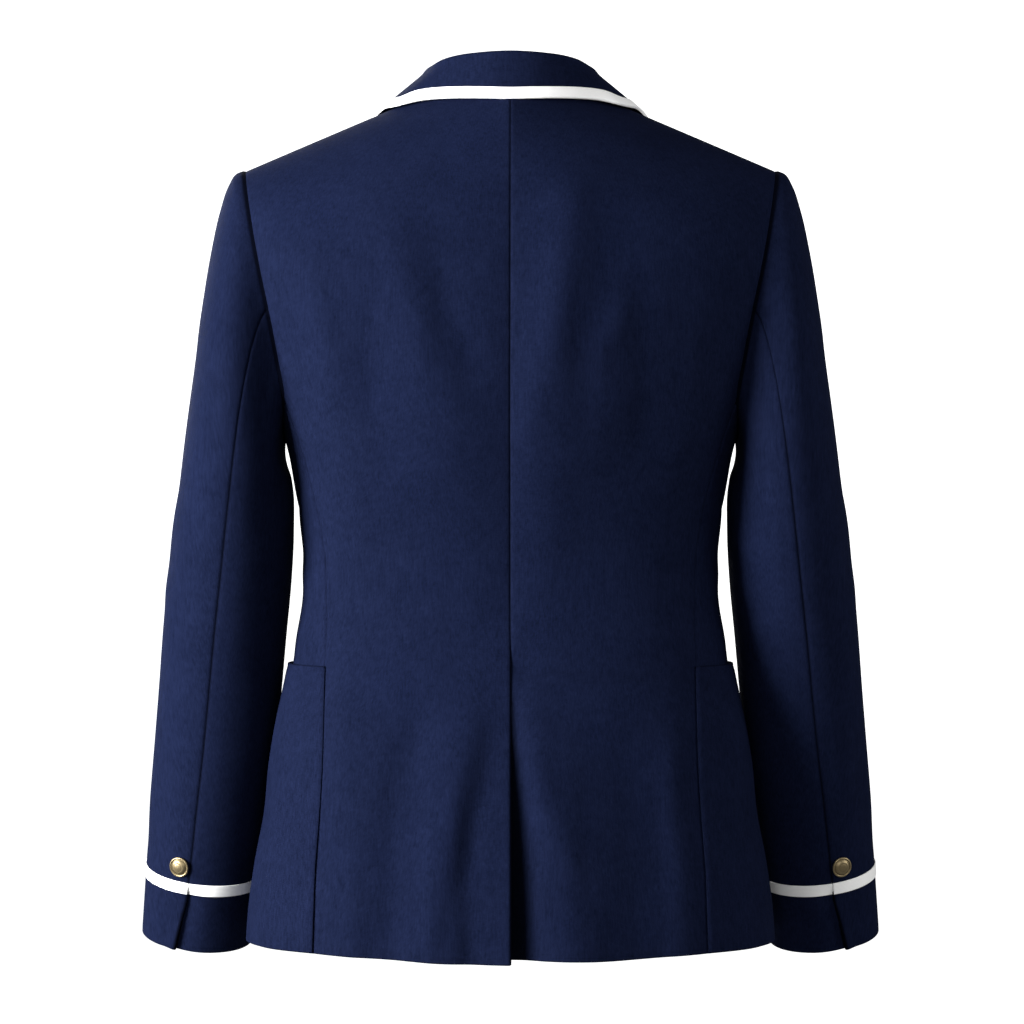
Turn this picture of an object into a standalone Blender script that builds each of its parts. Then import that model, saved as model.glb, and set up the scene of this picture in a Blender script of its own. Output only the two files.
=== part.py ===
"""A navy blazer with white ribbon trim, hollow as when it is worn.

Units are metres. +Z is up, the wearer faces -Y and the wearer's left is +X.
The origin is the middle of the neck base, between the shoulders.
"""

import math
from collections import namedtuple

import bmesh
import bpy
from mathutils import Vector
from mathutils.bvhtree import BVHTree

# Cloth and seams
CLOTH = 0.0018
RIBBON = 0.0010
SEAM_GAP = 0.0006
SLEEVE_GAP = 0.0009
LAYER = 0.0026
FRONT_LAYER = 0.0036
RIBBON_WIDTH = 0.0095
RIBBON_REST = (CLOTH + RIBBON) / 2 + 0.0004
STRIP_REST = RIBBON_REST + 0.0004
VENT_UNDERLAP = 0.028
NECK_COLUMNS = 4
POCKET_COLUMNS = 5

# Shoulders and neck
RIDGE_TOP = 0.0446
SHOULDER_SLOPE = 0.4245
RIDGE_DEPTH = -0.004
SHOULDER_ROUND = 0.110
ROUNDNESS = 2.3
NECK_HALF = 0.072
NECK_BACK_LEVEL = 0.013
SHOULDER_HALF = 0.2208

# Levels that the pieces share, below the end of the back armhole
ARMHOLE_TOP = -0.0485
ARMHOLE_SEAM = -0.239
UNDERARM_LEVEL = -0.272
LEVELS = (
    -0.239, -0.262, -0.287, -0.310, -0.334, -0.371, -0.404, -0.437,
    -0.4575, -0.470, -0.502, -0.540, -0.580, -0.620, -0.655, -0.685,
)
BREAK_ROW = 4
POCKET_ROW = 8
VENT_ROW = 9
HEM_SIDE = -0.685
HEM_BACK_DROP = 0.006
HEM_FRONT_DROP = 0.010
CORNER_WIDTH = 0.088
CORNER_HEIGHT = 0.118
UPPER_ROWS = 9
GORGE_ROW = 4

# Columns of each piece
BACK_COLUMNS = 10
SIDE_COLUMNS = 4
FRONT_COLUMNS = 10

# Front edge, roll line and lapel
OVERLAP = 0.020
GORGE_X = 0.064
GORGE_LEVEL = -0.036
LAPEL_WIDTH = 0.082
LAPEL_ROLL = 0.005
LAPEL_TIP = 0.005
LAPEL_SHARES = (0.0, 0.10, 0.22, 0.40, 0.62, 1.0)
ROLL_REACH = 0.016
GORGE_SHARES = (0.0, 0.05, 0.10, 0.22, 0.42)

# Collar
STAND_GAP = 0.0021
ROLL_RADIUS = 0.0022
COLLAR_CLEAR = 0.0048

# Cuffs and buttons
CUFF_LIFT = 0.0034
VENT_SHIFT = 0.62
CUFF_BUTTON_RADIUS = 0.0087
BUTTON_LIFT = 0.0007
BUTTON_ASIDE = 0.70
BUTTON_DOWN = 0.42
FRONT_BUTTON_RADIUS = 0.0108
FRONT_BUTTON_LEVELS = {"upper": -0.366, "lower": -0.470}

Body = namedtuple("Body", "level half_width back front")
BODY = (
    Body(0.020, 0.286, 0.088, 0.060),
    Body(-0.020, 0.272, 0.093, 0.074),
    Body(-0.050, 0.262, 0.098, 0.094),
    Body(-0.080, 0.250, 0.105, 0.110),
    Body(-0.126, 0.232, 0.113, 0.126),
    Body(-0.172, 0.216, 0.119, 0.136),
    Body(-0.205, 0.206, 0.120, 0.138),
    Body(-0.239, 0.1965, 0.118, 0.138),
    Body(-0.262, 0.1890, 0.115, 0.136),
    Body(-0.287, 0.1825, 0.110, 0.133),
    Body(-0.334, 0.1752, 0.099, 0.126),
    Body(-0.371, 0.1712, 0.093, 0.122),
    Body(-0.404, 0.1722, 0.093, 0.122),
    Body(-0.437, 0.1775, 0.098, 0.124),
    Body(-0.4575, 0.1800, 0.102, 0.125),
    Body(-0.502, 0.1908, 0.110, 0.128),
    Body(-0.540, 0.1972, 0.116, 0.130),
    Body(-0.580, 0.2010, 0.120, 0.131),
    Body(-0.620, 0.2085, 0.125, 0.132),
    Body(-0.655, 0.2135, 0.128, 0.133),
    Body(-0.695, 0.2165, 0.130, 0.134),
)

Armhole = namedtuple("Armhole", "level back_x front_x")
ARMHOLE = (
    Armhole(-0.0485, 0.2208, 0.2208),
    Armhole(-0.084, 0.2143, 0.2060),
    Armhole(-0.126, 0.2063, 0.1925),
    Armhole(-0.166, 0.1978, 0.1855),
    Armhole(-0.205, 0.1905, 0.1825),
    Armhole(-0.239, 0.1850, 0.1815),
)

SideSeam = namedtuple("SideSeam", "level back_x front_depth")
SIDE_SEAMS = (
    SideSeam(-0.239, 0.1850, 0.0600),
    SideSeam(-0.262, 0.1770, 0.0590),
    SideSeam(-0.3025, 0.1640, 0.0580),
    SideSeam(-0.334, 0.1566, 0.0575),
    SideSeam(-0.371, 0.1512, 0.0570),
    SideSeam(-0.4575, 0.1501, 0.0580),
    SideSeam(-0.520, 0.1509, 0.0600),
    SideSeam(-0.565, 0.1524, 0.0620),
    SideSeam(-0.606, 0.1560, 0.0640),
    SideSeam(-0.695, 0.1590, 0.0660),
)

Sleeve = namedtuple("Sleeve", "level middle_x middle_y half_x half_y turn")
SLEEVE = (
    Sleeve(-0.305, 0.2285, -0.006, 0.0460, 0.0710, 3.0),
    Sleeve(-0.345, 0.2308, -0.010, 0.0495, 0.0675, 6.0),
    Sleeve(-0.385, 0.2340, -0.015, 0.0505, 0.0625, 8.0),
    Sleeve(-0.430, 0.2388, -0.022, 0.0507, 0.0580, 9.0),
    Sleeve(-0.475, 0.2430, -0.030, 0.0505, 0.054, 10.0),
    Sleeve(-0.520, 0.2474, -0.038, 0.0500, 0.051, 11.0),
    Sleeve(-0.570, 0.2530, -0.048, 0.0490, 0.048, 12.5),
    Sleeve(-0.610, 0.2575, -0.057, 0.0480, 0.046, 13.5),
    Sleeve(-0.6315, 0.2602, -0.0623, 0.0475, 0.0450, 14.0),
    Sleeve(-0.6410, 0.2612, -0.0646, 0.0473, 0.0447, 14.2),
    Sleeve(-0.6650, 0.2640, -0.0705, 0.0466, 0.0438, 14.6),
    Sleeve(-0.6900, 0.2668, -0.0765, 0.0460, 0.0430, 15.0),
)
CAP_STEPS = (0.0, 0.08, 0.18, 0.30, 0.44, 0.60, 0.79)
CUFF_RIBBON_ROWS = (15, 16)
HINDARM_COLUMN = 7
FOREARM_COLUMN = 8

Fold = namedtuple("Fold", "top_x top_level end_x end_level width height")
FOLDS_LEFT = (
    Fold(0.165, -0.10, 0.132, -0.36, 0.020, 0.0026),
    Fold(0.095, -0.11, 0.045, -0.33, 0.022, 0.0028),
    Fold(0.122, -0.16, 0.100, -0.30, 0.018, -0.0024),
    Fold(0.136, -0.44, 0.132, -0.72, 0.022, 0.0034),
    Fold(0.072, -0.47, 0.104, -0.72, 0.020, -0.0040),
    Fold(0.034, -0.46, 0.062, -0.72, 0.018, 0.0036),
    Fold(0.028, -0.54, 0.030, -0.72, 0.014, -0.0022),
)
FOLDS_RIGHT = (
    Fold(0.170, -0.14, 0.134, -0.34, 0.018, 0.0024),
    Fold(0.110, -0.13, 0.066, -0.30, 0.024, 0.0026),
    Fold(0.052, -0.07, 0.010, -0.32, 0.018, 0.0028),
    Fold(0.020, -0.47, 0.064, -0.72, 0.022, 0.0040),
    Fold(0.092, -0.50, 0.118, -0.72, 0.024, -0.0034),
    Fold(0.132, -0.46, 0.142, -0.72, 0.020, 0.0022),
)

Back = namedtuple("Back", "neck_x apex_x apex_y apex_z edge_x edge_z")
COLLAR_BACK = (
    Back(0.000, 0.0000, 0.0575, 0.0438, 0.000, 0.0088),
    Back(0.014, 0.0135, 0.0560, 0.0437, 0.018, 0.0092),
    Back(0.028, 0.0265, 0.0520, 0.0431, 0.036, 0.0098),
    Back(0.042, 0.0390, 0.0450, 0.0422, 0.054, 0.0102),
    Back(0.056, 0.0510, 0.0345, 0.0402, 0.072, 0.0096),
    Back(0.067, 0.0600, 0.0190, 0.0370, 0.090, 0.0064),
)
Front = namedtuple("Front", "share height lean edge_x edge_z")
COLLAR_FRONT = (
    Front(0.000, 0.0210, 0.00, 0.1060, -0.0010),
    Front(0.150, 0.0190, 0.15, 0.1110, -0.0050),
    Front(0.350, 0.0160, 0.40, 0.1150, -0.0100),
    Front(0.570, 0.0125, 0.70, 0.1190, -0.0155),
    Front(0.780, 0.0100, 0.90, 0.1215, -0.0205),
    Front(0.970, 0.0082, 1.00, 0.1235, -0.0255),
)

Profile = namedtuple("Profile", "radius height")
BUTTON_PROFILE = (
    Profile(0.00, 0.46), Profile(0.30, 0.43), Profile(0.56, 0.35), Profile(0.74, 0.23),
    Profile(0.80, 0.18), Profile(0.88, 0.23), Profile(0.97, 0.20), Profile(1.00, 0.12),
    Profile(0.94, 0.02), Profile(0.50, 0.00), Profile(0.00, 0.00),
)


def remove_everything():
    for item in list(bpy.data.objects):
        bpy.data.objects.remove(item, do_unlink=True)


def make_material(name, colour, roughness, metallic):
    material = bpy.data.materials.new(name)
    material.use_nodes = True
    shader = material.node_tree.nodes["Principled BSDF"]
    shader.inputs["Base Color"].default_value = (*colour, 1.0)
    shader.inputs["Roughness"].default_value = roughness
    shader.inputs["Metallic"].default_value = metallic
    material.diffuse_color = (*colour, 1.0)
    return material


def clamp(value, low=0.0, high=1.0):
    return max(low, min(high, value))


def ease(value, start, end):
    """0 before start, 1 after end, with a smooth change between."""
    share = clamp((value - start) / (end - start))
    return share * share * (3 - 2 * share)


def read_table(rows, level, field):
    """A smooth curve through one column of a table, by the rows' level."""
    levels = [row.level for row in rows]
    values = [getattr(row, field) for row in rows]
    if level >= levels[0]:
        return values[0]
    if level <= levels[-1]:
        return values[-1]
    place = next(i for i in range(len(levels) - 1) if level >= levels[i + 1])
    slopes = []
    for i in (place, place + 1):
        before, after = max(i - 1, 0), min(i + 1, len(levels) - 1)
        slopes.append((values[after] - values[before]) / (levels[after] - levels[before]))
    span = levels[place + 1] - levels[place]
    t = (level - levels[place]) / span
    return (
        (2 * t**3 - 3 * t**2 + 1) * values[place]
        + (t**3 - 2 * t**2 + t) * span * slopes[0]
        + (-2 * t**3 + 3 * t**2) * values[place + 1]
        + (t**3 - t**2) * span * slopes[1]
    )


def section_share(share):
    """Depth of the body's section, as a share of its full depth, at a share of its width."""
    return clamp(1 - clamp(abs(share)) ** ROUNDNESS, 0.0, 1.0) ** (1 / ROUNDNESS)


def shoulder_share(x, z):
    """How far the cloth has come off the shoulder's ridge at a point, from 0 to 1."""
    drop = clamp((RIDGE_TOP - SHOULDER_SLOPE * abs(x) - z) / SHOULDER_ROUND)
    return math.sqrt(1 - (1 - drop) ** 2)


def fold_height(side, x, z):
    """Soft ridges and troughs of the back."""
    height = 0.0
    for fold in FOLDS_LEFT if side > 0 else FOLDS_RIGHT:
        along = (z - fold.top_level) / (fold.end_level - fold.top_level)
        middle = fold.top_x + (fold.end_x - fold.top_x) * along
        across = math.exp(-(((abs(x) - middle) / fold.width) ** 2))
        fade_out = 1.0 if fold.end_level < HEM_SIDE else 1 - ease(along, 0.72, 1.1)
        height += fold.height * across * ease(along, -0.12, 0.35) * fade_out
    return height


def back_depth(side, x, z):
    half = read_table(BODY, z, "half_width")
    depth = read_table(BODY, z, "back") * section_share(x / half) * shoulder_share(x, z)
    valley = 0.003 * math.exp(-((x / 0.016) ** 2)) * ease(-z, 0.05, 0.16) * (1 - ease(-z, 0.40, 0.46))
    loose = 1 - ease(abs(x) / half, 0.80, 0.93)
    return RIDGE_DEPTH + depth - valley + loose * fold_height(side, x, z)


def front_depth(side, x, z):
    half = read_table(BODY, z, "half_width")
    depth = read_table(BODY, z, "front") * section_share(x / half) * shoulder_share(x, z)
    over = 1.0 - ease(side * x, 0.035, 0.095) if side > 0 else 0.0
    level = ease(-z, 0.20, 0.24) * (2 - ease(-z, 0.338, 0.371))
    return RIDGE_DEPTH - depth - over * level * FRONT_LAYER


def side_x(y, z):
    """Half width of the body at a depth, on the side pieces."""
    half = read_table(BODY, z, "half_width")
    full = read_table(BODY, z, "back" if y > RIDGE_DEPTH else "front")
    return half * section_share((y - RIDGE_DEPTH) / full)


def upper_shares():
    """Shares of the way down from the shoulder seam, closer together at the top."""
    return [(row / UPPER_ROWS) ** 1.9 for row in range(UPPER_ROWS + 1)]


def blend_patch(top, bottom, left, right):
    """A grid of (x, z) between four edges that meet at their ends."""
    shares = upper_shares()
    grid = []
    for row, w in enumerate(shares):
        line = []
        for column in range(len(top)):
            u = column / (len(top) - 1)
            pair = []
            for axis in (0, 1):
                straight = (1 - w) * top[column][axis] + w * bottom[column][axis]
                left_off = left[row][axis] - ((1 - w) * left[0][axis] + w * left[-1][axis])
                right_off = right[row][axis] - ((1 - w) * right[0][axis] + w * right[-1][axis])
                pair.append(straight + (1 - u) * left_off + u * right_off)
            line.append(tuple(pair))
        grid.append(line)
    return grid


def armhole_line(field):
    line = []
    for share in upper_shares():
        level = ARMHOLE_TOP + (ARMHOLE_SEAM - ARMHOLE_TOP) * share
        line.append((read_table(ARMHOLE, level, field), level))
    return line


def ridge_level(x):
    return RIDGE_TOP - SHOULDER_SLOPE * abs(x)


def neck_level(x):
    """Level of the back neck seam at a distance from the centre."""
    end = ridge_level(NECK_HALF)
    return NECK_BACK_LEVEL + (end - NECK_BACK_LEVEL) * (x / NECK_HALF) ** 2


def hem_level(x):
    return HEM_SIDE - HEM_BACK_DROP * (1 - ease(abs(x), 0.0, 0.190))


def back_grid(side):
    """Points of one back, row by row from the neck and shoulder to the hem."""
    top = []
    for column in range(BACK_COLUMNS + 1):
        if column <= NECK_COLUMNS:
            x = NECK_HALF * column / NECK_COLUMNS
            top.append((x, neck_level(x)))
        else:
            share = (column - NECK_COLUMNS) / (BACK_COLUMNS - NECK_COLUMNS)
            x = NECK_HALF + (SHOULDER_HALF - NECK_HALF) * share
            top.append((x, ridge_level(x)))
    end_x = read_table(SIDE_SEAMS, ARMHOLE_SEAM, "back_x")
    bottom = [(end_x * column / BACK_COLUMNS, ARMHOLE_SEAM) for column in range(BACK_COLUMNS + 1)]
    centre = []
    for share in upper_shares():
        centre.append((0.0, NECK_BACK_LEVEL + (ARMHOLE_SEAM - NECK_BACK_LEVEL) * share))
    flat = blend_patch(top, bottom, centre, armhole_line("back_x"))
    for row in range(1, len(LEVELS)):
        level = LEVELS[row]
        seam = read_table(SIDE_SEAMS, level, "back_x")
        start = -VENT_UNDERLAP if side < 0 and row >= VENT_ROW else 0.0
        line = []
        for column in range(BACK_COLUMNS + 1):
            x = start + (seam - start) * column / BACK_COLUMNS
            line.append((x, vent_level(side, x, level, row)))
        flat.append(line)
    return [[back_point(side, x, z) for x, z in line] for line in flat]


def vent_level(side, x, level, row):
    """The hem's curve, with the flap on top hanging a little lower."""
    reach = ease(row, len(LEVELS) - 4, len(LEVELS) - 1)
    short = 0.0033 * (1 - ease(abs(x), 0.0, 0.10)) if side < 0 else 0.0
    return level + (hem_level(x) - HEM_SIDE + short) * reach


def back_point(side, x, z):
    y = back_depth(side, max(x, 0.0), z)
    if side < 0:
        tuck = LAYER * ease(-z, 0.430, 0.456) + 0.0065 * ease(-z, 0.47, 0.68)
        y -= tuck * (1 - ease(x, 0.002, 0.034))
    else:
        y += 0.0015 * ease(-z, 0.50, 0.68) * (1 - ease(x, 0.0, 0.03))
    return Vector((side * x, y, z))


def side_dip(level):
    """How far the side piece's middle lies below its seams, near the armhole."""
    return (ARMHOLE_SEAM - UNDERARM_LEVEL) * (1 - ease(-level, 0.235, 0.325))


def side_grid(side):
    grid = []
    for row, level in enumerate(LEVELS):
        seam = read_table(SIDE_SEAMS, level, "back_x")
        z_seam = vent_level(1, seam, level, row)
        back_y = back_depth(side, seam, z_seam)
        front_y = -read_table(SIDE_SEAMS, level, "front_depth")
        line = []
        for column in range(SIDE_COLUMNS + 1):
            share = column / SIDE_COLUMNS
            y = back_y + (front_y - back_y) * share
            z = z_seam - side_dip(level) * (1 - (2 * share - 1) ** 2)
            x = side_x(y, z) if 0 < column else seam
            line.append(Vector((side * x, y, z)))
        grid.append(line)
    return grid


def front_edge_x(level):
    """Front edge or roll line, measured from the centre towards the piece's own side."""
    end_level = LEVELS[BREAK_ROW]
    if level > GORGE_LEVEL:
        share = (ridge_level(NECK_HALF) - level) / (ridge_level(NECK_HALF) - GORGE_LEVEL)
        return NECK_HALF + (GORGE_X - NECK_HALF) * share
    if level > end_level:
        share = (GORGE_LEVEL - level) / (GORGE_LEVEL - end_level)
        return GORGE_X + (-OVERLAP - GORGE_X) * share
    down = clamp((HEM_SIDE - HEM_FRONT_DROP + CORNER_HEIGHT - level) / CORNER_HEIGHT, 0.0, 1.0)
    return -OVERLAP + CORNER_WIDTH * (1 - math.sqrt(1 - down * down))


def corner_rise(x):
    """How far the front hem has risen above its lowest level, round the corner."""
    aside = clamp((CORNER_WIDTH - OVERLAP - x) / CORNER_WIDTH, 0.0, 1.0)
    return CORNER_HEIGHT * (1 - math.sqrt(1 - aside * aside))


def front_grid(side):
    """Points of one front, from its front edge to the armhole and side-front seam."""
    shares = upper_shares()
    start_level = ridge_level(NECK_HALF)
    top = []
    for column in range(FRONT_COLUMNS + 1):
        x = NECK_HALF + (SHOULDER_HALF - NECK_HALF) * column / FRONT_COLUMNS
        top.append((x, ridge_level(x)))
    seam_end = side_x(-read_table(SIDE_SEAMS, ARMHOLE_SEAM, "front_depth"), ARMHOLE_SEAM)
    edge = []
    for share in shares:
        level = start_level + (ARMHOLE_SEAM - start_level) * share
        edge.append((front_edge_x(level), level))
    bottom = []
    for column in range(FRONT_COLUMNS + 1):
        x = edge[-1][0] + (seam_end - edge[-1][0]) * column / FRONT_COLUMNS
        bottom.append((x, ARMHOLE_SEAM))
    hole = armhole_line("front_x")
    hole[-1] = (seam_end, ARMHOLE_SEAM)
    flat = blend_patch(top, bottom, edge, hole)
    for row in range(1, len(LEVELS)):
        level = LEVELS[row]
        z_seam = vent_level(1, read_table(SIDE_SEAMS, level, "back_x"), level, row)
        seam_y = -read_table(SIDE_SEAMS, level, "front_depth")
        seam = side_x(seam_y, z_seam)
        reach = ease(row, len(LEVELS) - 5, len(LEVELS) - 1)
        z_edge = level + (CORNER_HEIGHT * (1 - math.sqrt(0.5)) - HEM_FRONT_DROP) * reach
        start = front_edge_x(z_edge)
        line = []
        for column in range(FRONT_COLUMNS + 1):
            share = column / FRONT_COLUMNS
            x = start + (seam - start) * share
            hem = -HEM_FRONT_DROP * (1 - ease(share, 0.20, 1.0)) + corner_rise(x)
            line.append((x, z_seam + (level - z_seam + hem * reach) * (1 - ease(share, 0.45, 1.0))))
        line[0] = (start, z_edge)
        flat.append(line)
    grid = []
    for line in flat:
        points = []
        for x, z in line:
            points.append(Vector((side * x, front_depth(side, x, z), z)))
        grid.append(points)
    return grid


def grid_normals(grid, side):
    """Unit vectors out of the garment at each point of a panel's grid."""
    rows, columns = len(grid), len(grid[0])
    normals = []
    for row in range(rows):
        line = []
        for column in range(columns):
            down = grid[min(row + 1, rows - 1)][column] - grid[max(row - 1, 0)][column]
            across = grid[row][min(column + 1, columns - 1)] - grid[row][max(column - 1, 0)]
            line.append(side * down.cross(across).normalized())
        normals.append(line)
    return normals


def drawn_in(edge, inner, before, after, amount):
    """An edge point moved towards the inner one, so that it leaves the edge by the amount."""
    way = (inner - edge).normalized()
    slant = way.cross((after - before).normalized()).length
    return edge + way * amount / max(slant, 0.4)


def pull_in(grid, top=0.0, bottom=0.0, left=0.0, right=0.0):
    """The grid with its edges drawn in, so that a seam gap is left at each."""
    last = len(grid) - 1
    drawn = [[point.copy() for point in line] for line in grid]
    for row in range(last + 1):
        above, below = grid[max(row - 1, 0)], grid[min(row + 1, last)]
        line = grid[row]
        drawn[row][0] = drawn_in(line[0], line[1], above[0], below[0], left)
        drawn[row][-1] = drawn_in(line[-1], line[-2], above[-1], below[-1], right)
    for column in range(len(grid[0])):
        drawn[0][column] += (grid[1][column] - grid[0][column]).normalized() * top
        drawn[-1][column] += (grid[-2][column] - grid[-1][column]).normalized() * bottom
    return drawn


def cloth_piece(name, grid, thickness, material, collection):
    """A sheet through a grid of points, thickened to both sides."""
    rows, columns = len(grid), len(grid[0])
    mesh = bpy.data.meshes.new(name)
    sheet = bmesh.new()
    bmesh.ops.create_grid(sheet, x_segments=columns - 1, y_segments=rows - 1, size=0.5)
    for vertex in sheet.verts:
        column = round((vertex.co.x + 0.5) * (columns - 1))
        row = round((vertex.co.y + 0.5) * (rows - 1))
        vertex.co = grid[row][column]
    sheet.to_mesh(mesh)
    sheet.free()
    mesh.materials.append(material)
    mesh.shade_smooth()
    piece = bpy.data.objects.new(name, mesh)
    collection.objects.link(piece)
    wall = piece.modifiers.new("Wall", "SOLIDIFY")
    wall.thickness = thickness
    wall.offset = 0.0
    return piece


def moved_out(grid, normals, distance):
    return [
        [point + normal * distance for point, normal in zip(line, out)]
        for line, out in zip(grid, normals)
    ]


def point_along(line, normals, distance):
    """Point and normal at a distance along a row of points."""
    left = distance
    for index in range(len(line) - 1):
        step = (line[index + 1] - line[index]).length
        if left <= step or index == len(line) - 2:
            share = left / step
            point = line[index].lerp(line[index + 1], share)
            return point, normals[index].lerp(normals[index + 1], clamp(share)).normalized()
        left -= step
    return line[-1], normals[-1]


def lapel_width(share):
    """Width of the lapel at a share of the way down its roll line."""
    return LAPEL_TIP + (LAPEL_WIDTH - LAPEL_TIP) * (1 - share) ** 0.82


def turned_edge(line, out, roll):
    """Two points round the front's edge, where the turned-back cloth begins."""
    out_edge = (line[0] - line[1]).normalized()
    return [line[0] + out_edge * 0.0018, line[0] + out_edge * 0.0030 + out * (0.0014 + 0.4 * roll)]


def turned_back(line, outs, roll, distance):
    """A point of the turned-back cloth, at a distance along a row from the roll line."""
    point, out = point_along(line, outs, distance)
    return point + out * (LAYER + roll * math.exp(-((distance / ROLL_REACH) ** 2)))


def lapel_grid(front, normals):
    """The lapel on the front's own rows: it wraps the roll line and lies on the front."""
    first, last = GORGE_ROW, UPPER_ROWS + BREAK_ROW
    start_level, end_level = front[first][0].z, front[last][0].z
    grid = []
    for row in range(first, last + 1):
        line, outs = front[row], normals[row]
        share = (start_level - line[0].z) / (start_level - end_level)
        roll = LAPEL_ROLL * (1 - ease(share, 0.35, 0.72))
        points = turned_edge(line, outs[0], roll)
        points += [turned_back(line, outs, roll, lapel_width(share) * part) for part in LAPEL_SHARES]
        grid.append(points)
    return grid


def grid_tree(grid):
    """A search tree on the faces of a grid of points."""
    columns = len(grid[0])
    points = [point for line in grid for point in line]
    faces = []
    for row in range(len(grid) - 1):
        for column in range(columns - 1):
            first = row * columns + column
            faces.append((first, first + 1, first + columns + 1, first + columns))
    return BVHTree.FromPolygons(points, faces)


def seated(point, out, tree, distance):
    """The point, set at a distance out from the cloth below it."""
    spot, normal, _, _ = tree.find_nearest(point)
    return spot + (normal if normal.dot(out) > 0 else -normal) * distance


def edge_strip(edge, normals, inward, width, tree):
    """A ribbon along an edge, laid on the cloth, with a mitre where the edge turns."""
    strip = []
    for index, point in enumerate(edge):
        out = normals[index]
        before = point - edge[index - 1] if index > 0 else edge[1] - point
        after = edge[index + 1] - point if index < len(edge) - 1 else before
        sides = []
        for run in (before, after):
            way = out.cross(run).normalized()
            sides.append(way if way.dot(inward[index]) > 0 else -way)
        middle = (sides[0] + sides[1]).normalized()
        reach = width / max(middle.dot(sides[0]), 0.5)
        line = [point + middle * reach * share for share in (1.0, 0.5, 0.0)]
        strip.append([seated(spot, out, tree, STRIP_REST) for spot in line])
    return strip


def lapel_strip(lapel, outs):
    """The ribbon: along the lapel's top edge from the notch to the tip, then down its edge."""
    top, top_out = lapel[0], outs[0]
    edge = [top[-2].lerp(top[-3], 0.80), top[-2], top[-1].lerp(top[-2], 0.40), top[-1]]
    normals = [top_out[-2], top_out[-2], top_out[-1], top_out[-1]]
    for row in range(1, len(lapel) - 1):
        edge += [lapel[row - 1][-1].lerp(lapel[row][-1], 0.5), lapel[row][-1]]
        normals += [outs[row][-1], outs[row][-1]]
    heart = lapel[len(lapel) // 3][len(top) // 2]
    inward = [heart - point for point in edge]
    return edge_strip(edge, normals, inward, 0.9 * RIBBON_WIDTH, grid_tree(lapel))


def out_of_body(depth_at, sign, x, z, distance):
    """A point over the left half of the body, at a distance out from the cloth there."""
    step = 0.002
    across = Vector((step, depth_at(1, x + step, z) - depth_at(1, x, z), 0.0))
    down = Vector((0.0, depth_at(1, x, z - step) - depth_at(1, x, z), -step))
    out = sign * across.cross(down).normalized()
    return Vector((x, depth_at(1, x, z), z)) + out * distance


def out_of_back(x, z, distance):
    return out_of_body(back_depth, 1, x, z, distance)


def out_of_front(x, z, distance):
    return out_of_body(front_depth, -1, x, z, distance)


def collar_half(front):
    """Sections of the collar on the left, from the centre back to its front end."""
    sections = []
    for row in COLLAR_BACK:
        level = neck_level(row.neck_x)
        foot = Vector((row.neck_x, back_depth(1, row.neck_x, level), level))
        apex = Vector((row.apex_x, row.apex_y, row.apex_z))
        edge = out_of_back(row.edge_x, row.edge_z - 0.006, COLLAR_CLEAR)
        sections.append(collar_section(foot, apex, edge, False))
    start_level = ridge_level(NECK_HALF)
    lean_in = Vector((-0.32, 0.05, 0.95)).normalized()
    for row in COLLAR_FRONT:
        level = start_level + (GORGE_LEVEL - start_level) * row.share
        x = front_edge_x(level)
        foot = Vector((x, front_depth(1, x, level), level))
        out = out_of_front(x, level - 0.004, 1.0) - out_of_front(x, level - 0.004, 0.0)
        rise = lean_in.lerp(out.normalized(), row.lean).normalized()
        apex = foot + rise * row.height
        level = min(row.edge_z, ridge_level(row.edge_x) - 0.0005)
        edge = out_of_front(row.edge_x, level, COLLAR_CLEAR)
        sections.append(collar_section(foot, apex, edge, True))
    sections[-1] = notched_end(edge, front)
    return sections


def notched_end(tip, front):
    """The collar's front end: along the gorge seam to the notch, then out to its tip."""
    row, outs = front[GORGE_ROW], grid_normals(front, 1)[GORGE_ROW]
    start, turn = turned_edge(row, outs[0], LAPEL_ROLL)
    seam = [turned_back(row, outs, LAPEL_ROLL, LAPEL_WIDTH * share) for share in GORGE_SHARES]
    points = [start, start.lerp(turn, 0.5), turn, turn.lerp(seam[0], 0.5)] + seam
    points.append(tip + (seam[-1] - tip).normalized() * RIBBON_WIDTH)
    points.append(tip)
    return points


def collar_section(foot, apex, edge, on_front):
    """Stand, roll and fall at one place: a folded line from the neck seam to the edge."""
    rise = (apex - foot).normalized()
    out = edge - apex
    start = foot + rise * STAND_GAP
    across = (out - rise * out.dot(rise)).normalized()
    top_in = apex - rise * ROLL_RADIUS
    top_out = top_in + across * 2 * ROLL_RADIUS
    points = [start, start.lerp(top_in, 0.35), start.lerp(top_in, 0.70), top_in]
    points.append(apex + across * 0.3 * ROLL_RADIUS)
    points.append(apex + across * 1.7 * ROLL_RADIUS - rise * 0.1 * ROLL_RADIUS)
    fall = edge - top_out
    points.append(kept_off(top_out + fall * 0.12, on_front))
    ribbon_share = 1 - RIBBON_WIDTH / fall.length
    for share in (0.40, 0.40 + (ribbon_share - 0.40) * 0.55, ribbon_share):
        points.append(kept_off(top_out + fall * share, on_front))
    points.append(edge)
    return points


def collar_strip(sections, outs):
    """The ribbon: along the collar's outer edge, round both tips and in to the notches."""
    tree = grid_tree(sections)
    strip = []
    for line, out in zip(sections[1:-1], outs[1:-1]):
        inner, outer = line[-2] + out[-2] * STRIP_REST, line[-1] + out[-1] * STRIP_REST
        strip.append([inner, (inner + outer) / 2, outer])
    ends = []
    for line, beside, out in ((sections[0], sections[1], outs[0]), (sections[-1], sections[-2], outs[-1])):
        tip, notch = line[-1], line[-3]
        normal = out[-1].lerp(out[-3], 0.3).normalized()
        run = [beside[-1], tip, tip.lerp(notch, 0.45), tip.lerp(notch, 0.88)]
        heart = beside[-3] - tip
        ends.append(edge_strip(run, [normal] * 4, [heart] * 4, 0.9 * RIBBON_WIDTH, tree)[1:])
    return list(reversed(ends[0])) + strip + ends[1]


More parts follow.
